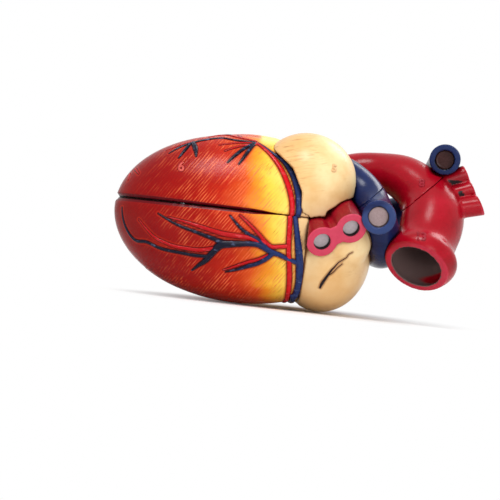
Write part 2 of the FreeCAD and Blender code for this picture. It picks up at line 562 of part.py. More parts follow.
back_veins = [
    skin_vessel("BackVein0", left_side((-1.5, 1.5), (0, -10), (1.6, -19.5), (1.8, -29.8), (1.6, -36.9))
                + under([(1.2, -13), (0.8, -6)]), "groove_vessel_r", "groove_vessel_r"),
    skin_vessel("BackVein1", left_side((0.6, -23.1), (-4.1, -21.1), (-12.9, -19.1), (-19.3, -15.8),
                                       (-28.3, -16.4), (-37.4, -17.2)), "main_vessel_r",
                "branch_vessel_r"),
    skin_vessel("BackVein7", left_side((-30, -16.6), (-35.5, -18.2), (-39.8, -22), (-43.8, -26.2),
                                       (-50.2, -31))),
    skin_vessel("BackVein2", left_side((-19.3, -15.8), (-24, -12.8), (-29.1, -9.5), (-35.6, -3))),
    skin_vessel("BackVein3", left_side((-12.9, -19.1), (-16, -22.8), (-23.6, -26.9), (-33.7, -30.6))),
    skin_vessel("BackVein4", left_side((-37.4, -16.4), (-49.8, -13.5), (-59.6, -11.2), (-69.5, -6))),
    skin_vessel("BackVein5", left_side((-43.1, -25.5), (-55.6, -25), (-66.3, -23.6), (-77, -20),
                                       (-84, -14), (-86, -7))),
    skin_vessel("BackVein6", under([(-6, 3.5), (-14, 0.5), (-30, -2.4), (-42, -4.2), (-60, -8),
                                    (-73, -12)])),
]
front_arteries = [
    skin_vessel("FrontArtery0", left_side((-24, 33.6), (-18.5, 29.6), (-12.2, 22.8), (-8.2, 14.8),
                                          (-5.6, 6), (-5, -1.5)), "branch_vessel_r", "main_vessel_r"),
    skin_vessel("FrontArtery1", over([(-24, -17), (-36, -18), (-50, -19), (-63, -20), (-75, -21)]),
                "main_vessel_r"),
    skin_vessel("FrontArtery2", left_side((-21.5, 31.2), (-28, 31.5), (-34, 30), (-41, 26.8))),
    skin_vessel("FrontArtery3", ring_route([-3, 15, 35, 55, 75], 4), "branch_vessel_r",
                "main_vessel_r"),
]
front_veins = [
    skin_vessel("FrontVein0", left_side((-12.6, 26.7), (-7.4, 20.4), (-3.4, 11.8), (-1.6, 5),
                                        (-1.3, -1.5)), "branch_vessel_r", "groove_vessel_r"),
    skin_vessel("FrontVein1", over([(-25, -13), (-37, -14), (-51, -15), (-64, -16), (-76, -18)]),
                "main_vessel_r"),
    skin_vessel("FrontVein2", left_side((-29.5, 28.8), (-34.5, 25.4), (-38.8, 21.5))),
    skin_vessel("FrontVein3", left_side((-58.6, 28.2), (-60.5, 25.5), (-64, 21.5))),
]


def on_skin(name, tree, half, *others):
    """The part of a tree of vessels that stands out of the muscle in one half."""
    if half is BACK:
        return cut(name, common(f"{name}Part", tree, half), wall_form, past_left_base,
                   past_right_base, *others)
    region = common(f"{name}Region", half, beside_groove)
    return cut(name, common(f"{name}Part", tree, region), wall_form, *others)


back_artery_tree = fuse("BackArteryTree", *back_arteries)
front_artery_tree = fuse("FrontArteryTree", *front_arteries)
keep("back_coronary_arteries", on_skin("BackArteries", back_artery_tree, BACK))
keep("front_coronary_arteries", on_skin("FrontArteries", front_artery_tree, FRONT))
keep("back_cardiac_veins", on_skin("BackVeins", fuse("BackVeinTree", *back_veins), BACK,
                                   back_artery_tree))
keep("front_cardiac_veins", on_skin("FrontVeins", fuse("FrontVeinTree", *front_veins), FRONT))

# ------------------------------------------------------------------ placing, checking, writing
for obj in FINAL.values():
    bind(obj, Placement__Base__x="-<origin_x>", Placement__Base__y="-<origin_y>",
         Placement__Base__z="<seam_height>")
doc.recompute()

for obj in doc.Objects:
    if "Invalid" in obj.State or "Error" in obj.State:
        raise RuntimeError(f"{obj.Name} did not build: {obj.State}")
os.makedirs("parts", exist_ok=True)
for node, obj in FINAL.items():
    if obj.Shape.isNull() or not obj.Shape.isValid() or not obj.Shape.Solids:
        raise RuntimeError(f"{node} is not a valid solid")
    obj.Shape.exportStep(f"parts/{node}.step")
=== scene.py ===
import json
import math

import bmesh
import bpy
from mathutils import Matrix, Vector
from mathutils.bvhtree import BVHTree


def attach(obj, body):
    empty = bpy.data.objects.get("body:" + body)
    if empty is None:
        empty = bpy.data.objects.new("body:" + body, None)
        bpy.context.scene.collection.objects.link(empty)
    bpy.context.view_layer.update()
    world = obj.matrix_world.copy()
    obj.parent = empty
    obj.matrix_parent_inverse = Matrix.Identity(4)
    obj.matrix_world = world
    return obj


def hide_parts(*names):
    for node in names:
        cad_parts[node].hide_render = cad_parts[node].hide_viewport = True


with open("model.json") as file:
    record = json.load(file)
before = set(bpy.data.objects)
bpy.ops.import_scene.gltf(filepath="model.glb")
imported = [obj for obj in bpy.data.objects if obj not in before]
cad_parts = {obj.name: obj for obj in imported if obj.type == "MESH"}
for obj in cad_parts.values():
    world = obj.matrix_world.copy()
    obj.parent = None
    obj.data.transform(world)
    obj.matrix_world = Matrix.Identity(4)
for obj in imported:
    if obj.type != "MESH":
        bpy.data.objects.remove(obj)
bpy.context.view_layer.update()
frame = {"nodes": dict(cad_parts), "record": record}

MM = 0.001
# the modelling frame: its origin in the row frame, with the parting plane at height 0
ORIGIN = Vector((-0.19, -4.45, 46.0)) * MM
SEAM_Z = ORIGIN.z


def at(x, y, z):
    """A point of the modelling frame, given in millimetres, in the row frame."""
    return ORIGIN + Vector((x, y, z)) * MM


# ------------------------------------------------------------------ camera, light, floor
ROLL = math.radians(6.58)             # the picture's right hand side leans up by this much
VIEW_CENTRE = at(-23.0, -20, -18.8)   # what the middle of the picture looks at
VIEW_WIDTH = 0.250                    # metres across the picture at that depth
DISTANCE = 0.9                        # metres from there to the camera
SENSOR = 36                           # the camera's sensor width in millimetres
AIM = (0, 0, 0.04)                    # what the lamps point at
WORLD_LIGHT = 0.42                    # how strongly the white surroundings light the model
FLOOR_HALF, FLOOR_DROP = 3, 0.0005    # half the floor's side, and how far it lies under the model
FADE = (0.02, 0.11)                   # the floor turns white between these distances, in metres


def add_camera():
    data = bpy.data.cameras.new("Camera")
    camera = bpy.data.objects.new("Camera", data)
    bpy.context.collection.objects.link(camera)
    look = Vector((0, 1, 0))
    right = Vector((math.cos(ROLL), 0, math.sin(ROLL)))
    up = right.cross(look)
    camera.matrix_world = Matrix.Translation(VIEW_CENTRE - look * DISTANCE) @ Matrix(
        (right, up, -look)).transposed().to_4x4()
    data.sensor_width = SENSOR
    data.lens = SENSOR * DISTANCE / VIEW_WIDTH
    data.clip_start, data.clip_end = 0.01, 20
    bpy.context.scene.camera = camera


def add_area(name, place, size, power):
    data = bpy.data.lights.new(name, "AREA")
    data.shape, data.size, data.energy = "DISK", size, power
    lamp = bpy.data.objects.new(name, data)
    lamp.location = place
    lamp.rotation_euler = (Vector(AIM) - Vector(place)).to_track_quat("-Z", "Y").to_euler()
    bpy.context.collection.objects.link(lamp)


def new_material(name):
    material = bpy.data.materials.new(name)
    material.use_nodes = True
    nodes, links = material.node_tree.nodes, material.node_tree.links
    return material, nodes, links, nodes["Principled BSDF"]


def joined(nodes, links, operation, first, second):
    """The result of a sum on two outputs."""
    node = nodes.new("ShaderNodeMath")
    node.operation = operation
    links.new(first, node.inputs[0])
    links.new(second, node.inputs[1])
    return node.outputs[0]


def mixed(nodes, links, share, first, second, output):
    """Sends output the first shader where share is 0 and the second where it is 1."""
    mix = nodes.new("ShaderNodeMixShader")
    for socket, source in zip(mix.inputs, (share, first, second)):
        links.new(source, socket)
    links.new(mix.outputs[0], nodes[output].inputs["Surface"])


def add_world():
    """Dim white surroundings that the camera, reflections and clear parts see at full white."""
    world = bpy.data.worlds.new("World")
    bpy.context.scene.world = world
    world.use_nodes = True
    nodes, links = world.node_tree.nodes, world.node_tree.links
    dim = nodes["Background"]
    full = nodes.new("ShaderNodeBackground")
    for background, strength in ((dim, WORLD_LIGHT), (full, 1.0)):
        background.inputs["Color"].default_value = (1, 1, 1, 1)
        background.inputs["Strength"].default_value = strength
    rays = nodes.new("ShaderNodeLightPath").outputs
    mirrored = joined(nodes, links, "MAXIMUM", rays["Is Glossy Ray"], rays["Is Transmission Ray"])
    seen = joined(nodes, links, "MAXIMUM", rays["Is Camera Ray"], mirrored)
    mixed(nodes, links, seen, dim.outputs[0], full.outputs[0], "World Output")


def add_floor():
    """A pale floor that runs into the white surroundings away from the model."""
    mesh = bpy.data.meshes.new("Floor")
    corners = [(x * FLOOR_HALF, y * FLOOR_HALF, 0) for x, y in ((-1, -1), (1, -1), (1, 1), (-1, 1))]
    mesh.from_pydata(corners, [], [(0, 1, 2, 3)])
    floor = bpy.data.objects.new("Floor", mesh)
    floor.location.z = -FLOOR_DROP
    bpy.context.collection.objects.link(floor)
    material, nodes, links, shader = new_material("Floor")
    shader.inputs["Base Color"].default_value = (0.9, 0.9, 0.9, 1)
    shader.inputs["Roughness"].default_value = 0.9
    shader.inputs["Specular IOR Level"].default_value = 0.0
    place = nodes.new("ShaderNodeTexCoord")
    length = nodes.new("ShaderNodeVectorMath")
    length.operation = "LENGTH"
    links.new(place.outputs["Object"], length.inputs[0])
    away = nodes.new("ShaderNodeMapRange")
    away.interpolation_type = "SMOOTHSTEP"
    away.inputs["From Min"].default_value, away.inputs["From Max"].default_value = FADE
    links.new(length.outputs["Value"], away.inputs["Value"])
    rays = nodes.new("ShaderNodeLightPath").outputs
    share = joined(nodes, links, "MULTIPLY", away.outputs["Result"], rays["Is Camera Ray"])
    white = nodes.new("ShaderNodeEmission")
    mixed(nodes, links, share, shader.outputs[0], white.outputs[0], "Material Output")
    mesh.materials.append(material)


add_camera()
add_world()
add_floor()
add_area("Key", (-0.15, -0.45, 0.9), 0.4, 6.6)
add_area("Front", (0.35, -1.1, 0.3), 0.6, 3.4)
add_area("Rim", (0.5, 0.5, 0.7), 0.5, 3.4)
bpy.context.scene.view_settings.view_transform = "Standard"

# ------------------------------------------------------------------ meshes
# small balls close two places: the wall between the groove and a magnet's seat, too thin for the
# remesh, on both sides of the parting plane, and a slit of about 2.5 mm in the top of the outflow
# cone, where the solid's own wall runs out over the bore
THIN_WALL = [(-32, -47.2), (-31, -47.35), (-30, -47.45), (-29, -47.5), (-28, -47.55), (-27, -47.5),
             (-26, -47.45), (-25, -47.4), (-24, -47.3)]
THIN_WALL_Z = 1.45
THIN_CONE = [(-14.2, -2.6, 33.9), (-13.6, -2, 34), (-13, -1.4, 34), (-12.4, -0.9, 33.9)]
BALL_R = 1.3


def clone(*nodes):
    """A new object with a welded copy of the meshes of CAD nodes, which it replaces."""
    form = bmesh.new()
    for node in nodes:
        form.from_mesh(frame["nodes"][node].data)
    bmesh.ops.remove_doubles(form, verts=form.verts, dist=1e-6)
    side = {"back_ventricle_wall": -1, "front_ventricle_wall": 1}.get(nodes[0], 0)
    balls = [(x, y, THIN_WALL_Z * side) for x, y in THIN_WALL] if side else []
    if side == 1:
        balls += THIN_CONE
    for place in balls:
        bmesh.ops.create_icosphere(form, subdivisions=2, radius=BALL_R * MM,
                                   matrix=Matrix.Translation(at(*place)))
    mesh = bpy.data.meshes.new(nodes[0])
    form.to_mesh(mesh)
    form.free()
    return add_piece(f"{nodes[0]}_cast", mesh, *nodes)


def add_piece(name, mesh, *nodes, body=None, slot=None):
    """Links mesh as a piece that rides on its body and replaces nodes, if it has any."""
    obj = bpy.data.objects.new(name, mesh)
    bpy.context.collection.objects.link(obj)
    for face in mesh.polygons:
        face.use_smooth = True
    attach(obj, body or BODY_OF[nodes[0]])
    if nodes:
        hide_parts(*nodes)
    return obj


def applied(obj):
    """Bakes obj's modifiers into its mesh."""
    deps = bpy.context.evaluated_depsgraph_get()
    mesh = bpy.data.meshes.new_from_object(obj.evaluated_get(deps))
    old, obj.data = obj.data, mesh
    obj.modifiers.clear()
    bpy.data.meshes.remove(old)
    for face in mesh.polygons:
        face.use_smooth = True
    return obj


def cast(obj, voxel, soften):
    """Turns a CAD copy into an even, slightly softened skin, as a plastic casting has."""
    remesh = obj.modifiers.new("Remesh", "REMESH")
    remesh.mode, remesh.voxel_size, remesh.use_smooth_shade = "VOXEL", voxel, True
    smooth = obj.modifiers.new("Smooth", "SMOOTH")
    smooth.factor, smooth.iterations = 0.5, soften
    return applied(obj)


def set_values(obj, name, values):
    """Stores one number per vertex, for the materials to read."""
    attribute = obj.data.attributes.new(name, "FLOAT", "POINT")
    attribute.data.foreach_set("value", values)


BODY_OF = {node: body for body, nodes in frame["record"]["behaviour"]["bodies"].items()
           for node in nodes}
SLOT_OF = {part["node"]: part["material_slot"] for part in frame["record"]["subparts"]}


# ------------------------------------------------------------------ paints
class Paint:
    """A gloss paint whose colour is built up in layers, each over the last."""

    def __init__(self, name, base, roughness=0.22):
        self.material, self.nodes, self.links, self.shader = new_material(name)
        self.shader.inputs["Roughness"].default_value = roughness
        self.shader.inputs["Specular IOR Level"].default_value = 0.12
        self.shader.inputs["Coat Weight"].default_value = 0.12
        self.shader.inputs["Coat Roughness"].default_value = 0.24
        self.place = self.nodes.new("ShaderNodeTexCoord").outputs["Object"]
        self.colour = self.constant(base)
        self.height = None

    def constant(self, colour):
        node = self.nodes.new("ShaderNodeRGB")
        node.outputs[0].default_value = (*colour, 1)
        return node.outputs[0]

    def put(self, socket, value):
        if hasattr(value, "is_linked"):
            self.links.new(value, socket)
        else:
            socket.default_value = value

    def maths(self, operation, *values, clamp=False):
        node = self.nodes.new("ShaderNodeMath")
        node.operation, node.use_clamp = operation, clamp
        for socket, value in zip(node.inputs, values):
            self.put(socket, value)
        return node.outputs[0]

    def reach(self, value, low, high):
        """0 where value is below low, 1 above high, smooth between."""
        node = self.nodes.new("ShaderNodeMapRange")
        node.interpolation_type = "SMOOTHSTEP"
        self.put(node.inputs["Value"], value)
        node.inputs["From Min"].default_value, node.inputs["From Max"].default_value = low, high
        return node.outputs["Result"]

    def attribute(self, name):
        node = self.nodes.new("ShaderNodeAttribute")
        node.attribute_name = name
        return node.outputs["Fac"]

    def noise(self, size, detail=3, stretch=None):
        """Noise from 0 to 1 with lumps of about size metres."""
        node = self.nodes.new("ShaderNodeTexNoise")
        node.inputs["Scale"].default_value = 1 / size
        node.inputs["Detail"].default_value = detail
        self.links.new(self.mapped(scale=stretch) if stretch else self.place, node.inputs["Vector"])
        return node.outputs["Fac"]

    def mapped(self, scale=(1, 1, 1), turn=(0, 0, 0)):
        node = self.nodes.new("ShaderNodeMapping")
        node.inputs["Scale"].default_value = scale
        node.inputs["Rotation"].default_value = turn
        self.links.new(self.place, node.inputs["Vector"])
        return node.outputs["Vector"]

    def along(self, direction, offset=0.0):
        """How far a point lies along direction from the row's origin, in metres."""
        node = self.nodes.new("ShaderNodeVectorMath")
        node.operation = "DOT_PRODUCT"
        self.links.new(self.place, node.inputs[0])
        node.inputs[1].default_value = direction
        return self.maths("SUBTRACT", node.outputs["Value"], offset)

    def lines(self, spacing, turn, wobble, detail):
        """Fine parallel lines, spacing metres apart, square to X once turned."""
        node = self.nodes.new("ShaderNodeTexWave")
        node.wave_type, node.bands_direction = "BANDS", "X"
        node.inputs["Scale"].default_value = math.pi / (10 * spacing)
        node.inputs["Distortion"].default_value = wobble
        node.inputs["Detail"].default_value = detail
        node.inputs["Detail Scale"].default_value = 0.12
        self.links.new(self.mapped(turn=turn), node.inputs["Vector"])
        return node.outputs["Fac"]

    def strokes(self, size, turn, length):
        """Brush strokes about size metres wide and length times as long, along Z once turned."""
        node = self.nodes.new("ShaderNodeMapping")
        node.vector_type = "TEXTURE"
        node.inputs["Scale"].default_value = (1, length / 2, length)
        node.inputs["Rotation"].default_value = turn
        self.links.new(self.place, node.inputs["Vector"])
        noise = self.nodes.new("ShaderNodeTexNoise")
        noise.inputs["Scale"].default_value = 1 / size
        noise.inputs["Detail"].default_value = 3
        self.links.new(node.outputs["Vector"], noise.inputs["Vector"])
        return noise.outputs["Fac"]

    def ramp(self, value, stops):
        node = self.nodes.new("ShaderNodeValToRGB")
        ramp = node.color_ramp
        while len(ramp.elements) < len(stops):
            ramp.elements.new(0.5)
        for element, (place, colour) in zip(ramp.elements, stops):
            element.position, element.color = place, (*colour, 1)
        self.links.new(value, node.inputs["Fac"])
        return node.outputs["Color"]

    def over(self, colour, mask):
        """Lays colour over what is there, where mask is 1."""
        mix = self.nodes.new("ShaderNodeMix")
        mix.data_type = "RGBA"
        self.put(mix.inputs["Factor"], mask)
        self.links.new(self.colour, mix.inputs["A"])
        self.links.new(self.constant(colour) if isinstance(colour, tuple) else colour, mix.inputs["B"])
        self.colour = mix.outputs["Result"]
        return self

    def raise_by(self, amount):
        """Adds a height in metres to the bump."""
        self.height = amount if self.height is None else self.maths("ADD", self.height, amount)
        return self

    def done(self):
        self.links.new(self.colour, self.shader.inputs["Base Color"])
        if self.height is not None:
            bump = self.nodes.new("ShaderNodeBump")
            bump.inputs["Distance"].default_value = 1.0
            self.links.new(self.height, bump.inputs["Height"])
            self.links.new(bump.outputs["Normal"], self.shader.inputs["Normal"])
        return self.material


# ------------------------------------------------------------------ relief vessels
OUTSIDE = 0.15                        # metres from a line's start to well outside the skin
AXIS_Y = -4                           # where the heart's long axis lies
# a point on the oblique base of the right ventricle, and the way that base faces
RIGHT_BASE = (-20, 19, 4)
BASE_WAY = Vector((math.cos(math.radians(43)), math.sin(math.radians(43)), 0))


def tree_of(*objects):
    """A BVH tree of these objects' faces, all in the row frame."""
    verts, faces = [], []
    for obj in objects:
        start = len(verts)
        verts += [v.co.copy() for v in obj.data.vertices]
        faces += [[start + i for i in face.vertices] for face in obj.data.polygons]
    return BVHTree.FromPolygons(verts, faces)


def from_left(x, z):
    """The line that meets the skin at (x, z) seen square from the left: a point and a way out."""
    return at(x, 0, z), Vector((0, -1, 0))


def round_axis(x, angle):
    """The same, square to X at an angle: 0 is the heart's right, 90 its front, -90 its back."""
    turn = math.radians(angle)
    return at(x, AXIS_Y, 0), Vector((0, math.cos(turn), math.sin(turn)))


def round_right_base(angle, inset):
    """The same, round the oblique base of the right ventricle, inset mm from it."""
    turn = math.radians(angle)
    way = Vector((-BASE_WAY.y, BASE_WAY.x, 0)) * math.cos(turn) + Vector((0, 0, math.sin(turn)))
    return at(*RIGHT_BASE) - BASE_WAY * inset * MM, way


def smooth_line(points, spacing=0.8 * MM):
    """Points about spacing apart on a smooth curve through (x, y, z, half width) points."""
    line = []
    ends = [points[0]] + points + [points[-1]]
    for a, b, c, d in zip(ends, ends[1:], ends[2:], ends[3:]):
        count = max(1, round((Vector(c[:3]) - Vector(b[:3])).length / spacing))
        for i in range(count):
            t = i / count
            line.append(tuple(
                0.5 * (2 * q + (r - p) * t + (2 * p - 5 * q + 4 * r - s) * t * t
                       + (3 * q - p - 3 * r + s) * t ** 3)
                for p, q, r, s in zip(a, b, c, d)))
    return line + [points[-1]]


FINEST = 0.12 * MM                    # half the width that no vessel is narrower than


def ridge(form, skin, route, proud, sides=10):
    """Adds one raised vessel to form: route is [(line, width in mm), ...] over the skin."""
    knots = []
    for (origin, way), width in route:
        place, _, _, _ = skin.ray_cast(origin + way * OUTSIDE, -way)
        if place is not None:
            knots.append((*place, width * MM / 2))
    if len(knots) < 2:
        return
    rings = []
    line = smooth_line(knots)
    for i, (x, y, z, half) in enumerate(line):
        place, normal, _, _ = skin.find_nearest(Vector((x, y, z)))
        ahead = Vector(line[min(i + 1, len(line) - 1)][:3]) - Vector(line[max(i - 1, 0)][:3])
        side = ahead.cross(normal).normalized()
        half = max(half, FINEST)
        ring = []
        for k in range(sides):
            turn = 2 * math.pi * k / sides
            ring.append(form.verts.new(place + side * half * math.cos(turn)
                                       + normal * half * proud * (math.sin(turn) + 0.25)))
        rings.append(ring)
    for a, b in zip(rings, rings[1:]):
        for k in range(sides):
            form.faces.new((a[k], a[(k + 1) % sides], b[(k + 1) % sides], b[k]))
    form.faces.new(list(reversed(rings[0])))
    form.faces.new(rings[-1])


def vessels(name, skin, routes, *nodes, proud, **ride):
    """One piece of many raised vessels, which replaces nodes; proud is their height to width."""
    form = bmesh.new()
    for route in routes:
        ridge(form, skin, route, proud)
    bmesh.ops.recalc_face_normals(form, faces=form.faces)
    mesh = bpy.data.meshes.new(name)
    form.to_mesh(mesh)
    form.free()
    return add_piece(name, mesh, *nodes, **ride)


def left(*spots):
    """A route from (x, z, width) spots in millimetres, seen square from the left."""
    return [(from_left(x, z), width) for x, z, width in spots]


def around(*spots):
    """A route from (x, angle, width) spots round the heart's long axis."""
    return [(round_axis(x, angle), width) for x, angle, width in spots]


def base_ring(inset, *spots):
    """A route from (angle, width) spots round the right base."""
    return [(round_right_base(angle, inset), width) for angle, width in spots]


BACK_VEINS = [
    left((-3.2, -0.4, 2.2), (-0.8, -10, 2.8), (1.3, -19.5, 3.8), (2.6, -29.8, 3.6), (2.2, -36.9, 3.4),
         (1.5, -39.5, 3.2)),
    left((1.3, -22.5, 2.2), (-4.1, -21.1, 1.8), (-8.5, -19.5, 2.1), (-12.9, -18.4, 2.6),
         (-19.3, -15.8, 2.6), (-24, -15.8, 2.6), (-28.3, -16.4, 2.8), (-33, -17, 3.4),
         (-37.4, -18, 3.8), (-40.5, -21.5, 3.2), (-43.8, -26.2, 2.6), (-47, -29, 1.6),
         (-50.2, -32, 0.5)),
    left((-12.9, -18.6, 1.8), (-19.3, -13.6, 1.7), (-24.5, -11.3, 1.5), (-29.1, -8.5, 1.2),
         (-34.6, -3.2, 0.5)),
    left((-11.5, -18.8, 2.2), (-15, -22.3, 2.2), (-19, -25, 2.0), (-23.6, -26.9, 1.8),
         (-29, -29.2, 1.2), (-33.7, -30.8, 0.4)),
    left((-36, -16.8, 2.4), (-42.5, -15, 1.8), (-49.8, -13.2, 1.4), (-59.6, -10.6, 1),
         (-69.5, -6.2, 0.4)),
    left((-43, -24.2, 1.6), (-49.5, -24.4, 1.6), (-55.6, -24, 1.5), (-66.3, -23, 1.4),
         (-73.6, -20.7, 1.3), (-79, -20.6, 1.4), (-83, -17.5, 1.3), (-86.5, -11.5, 1), (-88, -5, 0.5)),
    around((-6, -78, 2.4), (-14, -82, 2.2), (-28, -86, 2), (-42, -90, 1.8), (-58, -96, 1.5),
           (-72, -104, 1.1), (-82, -112, 0.5)),
    around((-40, -90, 1.4), (-48, -82, 1.1), (-56, -76, 0.4)),
    around((-24, -85, 1.4), (-34, -74, 1.2), (-42, -62, 0.9), (-48, -52, 0.4)),
    base_ring(6.5, (-8, 1.2), (-25, 1.6), (-45, 2), (-65, 2.2), (-80, 2.4)),
    around((0.5, -120, 3.2), (0.8, -105, 3.2), (-1, -92, 3)),
]
BACK_ARTERIES = [
    left((-5.6, -0.4, 2.3), (-4.6, -14.1, 2.3), (-3.4, -22, 2.2), (-2.2, -30.3, 2.4), (-1.8, -38, 2.4)),
    left((-4.6, -14.8, 2), (-9, -15.6, 1.8), (-12.7, -16, 1.8), (-16, -14, 1.6), (-19.3, -11, 1.6),
         (-23.8, -7.2, 1.3), (-29.9, -2.6, 0.8)),
    left((-15.7, -14.6, 2), (-20, -13.9, 2.1), (-25.1, -12.9, 2.3), (-35.8, -12.6, 2.3),
         (-43, -11.4, 1.9), (-50.2, -9.9, 1.6), (-57, -8.6, 1), (-64.5, -7.4, 0.4)),
    left((-38.5, -19.4, 1.9), (-44.5, -21, 1.9), (-48.8, -21.7, 1.9), (-59.4, -21.2, 1.6),
         (-65, -19.8, 1.4), (-70.3, -17.6, 1.2), (-78.7, -10.1, 0.5)),
    left((-14, -20, 1), (-18.5, -22.8, 1.4), (-24, -25, 1.4), (-30, -27.8, 1.1), (-35, -30, 0.4)),
    around((-8, -92, 2), (-20, -94, 1.9), (-34, -97, 1.7), (-48, -102, 1.4), (-62, -108, 1.1),
           (-74, -116, 0.5)),
    base_ring(3, (-5, 2.4), (-20, 2.4), (-40, 2.3), (-60, 2.2), (-78, 2)),
    base_ring(4, (-15, 1.4), (-12, 0.6)),
    around((-1.8, -124, 2.4), (-2.2, -110, 2.2), (-3.5, -98, 2)),
]
OBLIQUE_VEIN = [
    left((13.2, -33.5, 0.9), (14.2, -30.4, 1.5), (17.2, -24.8, 1), (19.2, -22, 0.7), (20.6, -20, 0.5),
         (22.4, -18.6, 0.45), (24.2, -17.2, 0.4), (25.2, -15.4, 0.35), (27, -14.2, 0.3)),
    left((16, -27, 0.5), (18.4, -25.2, 0.45), (20.4, -22.6, 0.4), (22.6, -20.4, 0.3)),
]
FRONT_VEINS = [
    left((-25, 34.2, 0.9), (-18, 30.2, 1.3), (-12, 26.4, 1.9), (-6.6, 20.2, 2.8), (-2.9, 11.8, 3.3),
         (-1.7, 5, 3.1), (-1.8, 0.4, 2.6)),
    left((-26.5, 33.8, 1.6), (-31, 30.8, 1.6), (-35.7, 26.1, 1.4), (-38.8, 22.2, 0.5)),
    left((-27, 33.2, 1.5), (-29.6, 28.9, 1.5), (-31.6, 25, 1.1), (-33.3, 22, 0.4)),
    left((-26.2, 34, 1.3), (-36.9, 34.3, 1.2), (-43.4, 34.6, 1.1), (-52.2, 32.4, 1.2),
         (-58.3, 30.2, 1.2)),
    left((-57.8, 30.4, 1.3), (-60.5, 26, 1.5), (-63, 21.8, 0.5)),
    left((-58.5, 30.2, 1.1), (-64, 27, 1.1), (-68.2, 23.8, 0.4)),
    left((-57, 30.6, 1.9), (-55.3, 27.5, 2.2), (-54.4, 23.5, 0.6)),
    around((-26, 99, 1.6), (-40, 97, 1.8), (-54, 98, 1.6), (-66, 100, 1.3), (-77, 104, 1),
           (-85, 110, 0.4)),
    around((-44, 97, 1.3), (-50, 88, 1.1), (-58, 80, 0.4)),
    around((-34, 97, 1.3), (-38, 84, 1.2), (-46, 70, 0.9), (-52, 60, 0.4)),
    base_ring(6.5, (-6, 1.4), (10, 1.8), (30, 2), (50, 1.8), (68, 1)),
]
FRONT_ARTERIES = [
    left((-26.1, 34.2, 1.5), (-18.5, 29, 1.9), (-12.8, 22.8, 2.3), (-8.2, 14.8, 2.5), (-5.4, 7, 2.5),
         (-4.8, 0.4, 2.3)),
    left((-25.5, 33.4, 1.3), (-33, 31.6, 1.2), (-41, 28, 0.5)),
    left((-26, 34.2, 1.2), (-35, 33, 1), (-44, 30.8, 0.4)),
    left((-26, 35, 1.3), (-35, 36, 1.3), (-43, 36.6, 1.2), (-50, 34.6, 0.6)),
    left((-34, 36, 1.1), (-39, 38, 0.8)),
    left((-58.3, 31, 0.9), (-63, 28.8, 0.9), (-70, 25.2, 0.4)),
    left((-86.3, 16.2, 1.6), (-84, 14.6, 1.3), (-81.6, 12.2, 0.5)),
    left((-86.3, 16.2, 1.6), (-86.4, 12, 1.1), (-86.8, 8.4, 0.5)),
    around((-24, 104, 2), (-38, 102, 2.1), (-52, 103, 1.9), (-65, 106, 1.6), (-76, 111, 1.3),
           (-86, 120, 0.8)),
    around((-46, 102, 1.3), (-54, 94, 1.1), (-62, 88, 0.4)),
    base_ring(3, (-5, 2.4), (12, 2.4), (32, 2.3), (52, 2.1), (70, 1.8)),
    base_ring(4, (20, 1.4), (22, 1)),
]


# ------------------------------------------------------------------ measuring the castings
def heart_mm(point):
    """A point of the row frame in the modelling frame, in millimetres."""
    return (point - ORIGIN) / MM


# the two ellipsoids that the ventricle walls follow: centre, half sizes, turn in degrees
LEFT_FORM = ((-28, -16, -4), (65, 33, 42), 7)
RIGHT_FORM = ((-24, 16, 6), (56, 34, 35), 32)
GOLDEN_ANGLE = 2.399963               # spreads rays evenly round a direction


def depth_in(point, centre, half, yaw):
    """How deep a point lies in an ellipsoid, in mm; negative outside."""
    turn = math.radians(-yaw)
    x, y, z = point.x - centre[0], point.y - centre[1], point.z - centre[2]
    x, y = x * math.cos(turn) - y * math.sin(turn), x * math.sin(turn) + y * math.cos(turn)
    q = Vector((x / half[0], y / half[1], z / half[2]))
    steep = Vector((q.x / half[0], q.y / half[1], q.z / half[2])).length
    return (1 - q.length) * q.length / max(steep, 1e-9)


def wall_depth(point):
    """How deep a point lies in the ventricles, in mm; negative outside."""
    return max(depth_in(point, *LEFT_FORM), depth_in(point, *RIGHT_FORM))


def step(value, low, high):
    """0 below low, 1 above high, smooth between."""
    t = min(1.0, max(0.0, (value - low) / (high - low)))
    return t * t * (3 - 2 * t)


def wall_zones(obj):
    """Marks a ventricle wall's parting face, its inside, and the fat on its slanting base."""
    inside, cut, fat = [], [], []
    for vertex in obj.data.vertices:
        p = heart_mm(vertex.co)
        fat.append(step((p - Vector(RIGHT_BASE)).dot(BASE_WAY), -11, -9)
                   * step(vertex.normal.dot(BASE_WAY), 0.25, 0.55))
        depth = wall_depth(p)
        inside.append(0.0 if p.x > 3 else step(depth, 1.6, 2.6) * (1 - fat[-1]))
        cut.append(step(abs(vertex.normal.z), 0.75, 0.95) * step(-abs(p.z), -1.1, -0.5)
                   * step(depth, 2, 4))
    set_values(obj, "inside", inside)
    set_values(obj, "cut", cut)
    set_values(obj, "fat", fat)


def carve_parting(obj):
    """Sinks the skin into a V along the parting plane, wide at the apex and fine at the base."""
    normals = [v.normal.copy() for v in obj.data.vertices]
    for vertex, normal in zip(obj.data.vertices, normals):
        p = heart_mm(vertex.co)
        if p.x > -4 or abs(p.z) > 2.2:
            continue
        half = 0.3 + 1.15 * step(-p.x, 6, 26) + 0.55 * step(-p.x, 26, 80)
        if abs(p.z) < half and wall_depth(p) < 1.6:
            flat = Vector((normal.x, normal.y, 0))
            vertex.co -= flat * (1 - abs(p.z) / half) * half * 0.75 * MM


def proud_lip(obj, point, normal, height=0.7, reach=5):
    """Swells the skin towards a plane, so that the edge there stands proud like a collar."""
    across = Vector(normal).normalized()
    normals = [v.normal.copy() for v in obj.data.vertices]
    for vertex, normal in zip(obj.data.vertices, normals):
        distance = (heart_mm(vertex.co) - Vector(point)).dot(across)
        flat = normal - across * normal.dot(across)
        vertex.co += flat * height * step(distance, -reach, 0) * MM


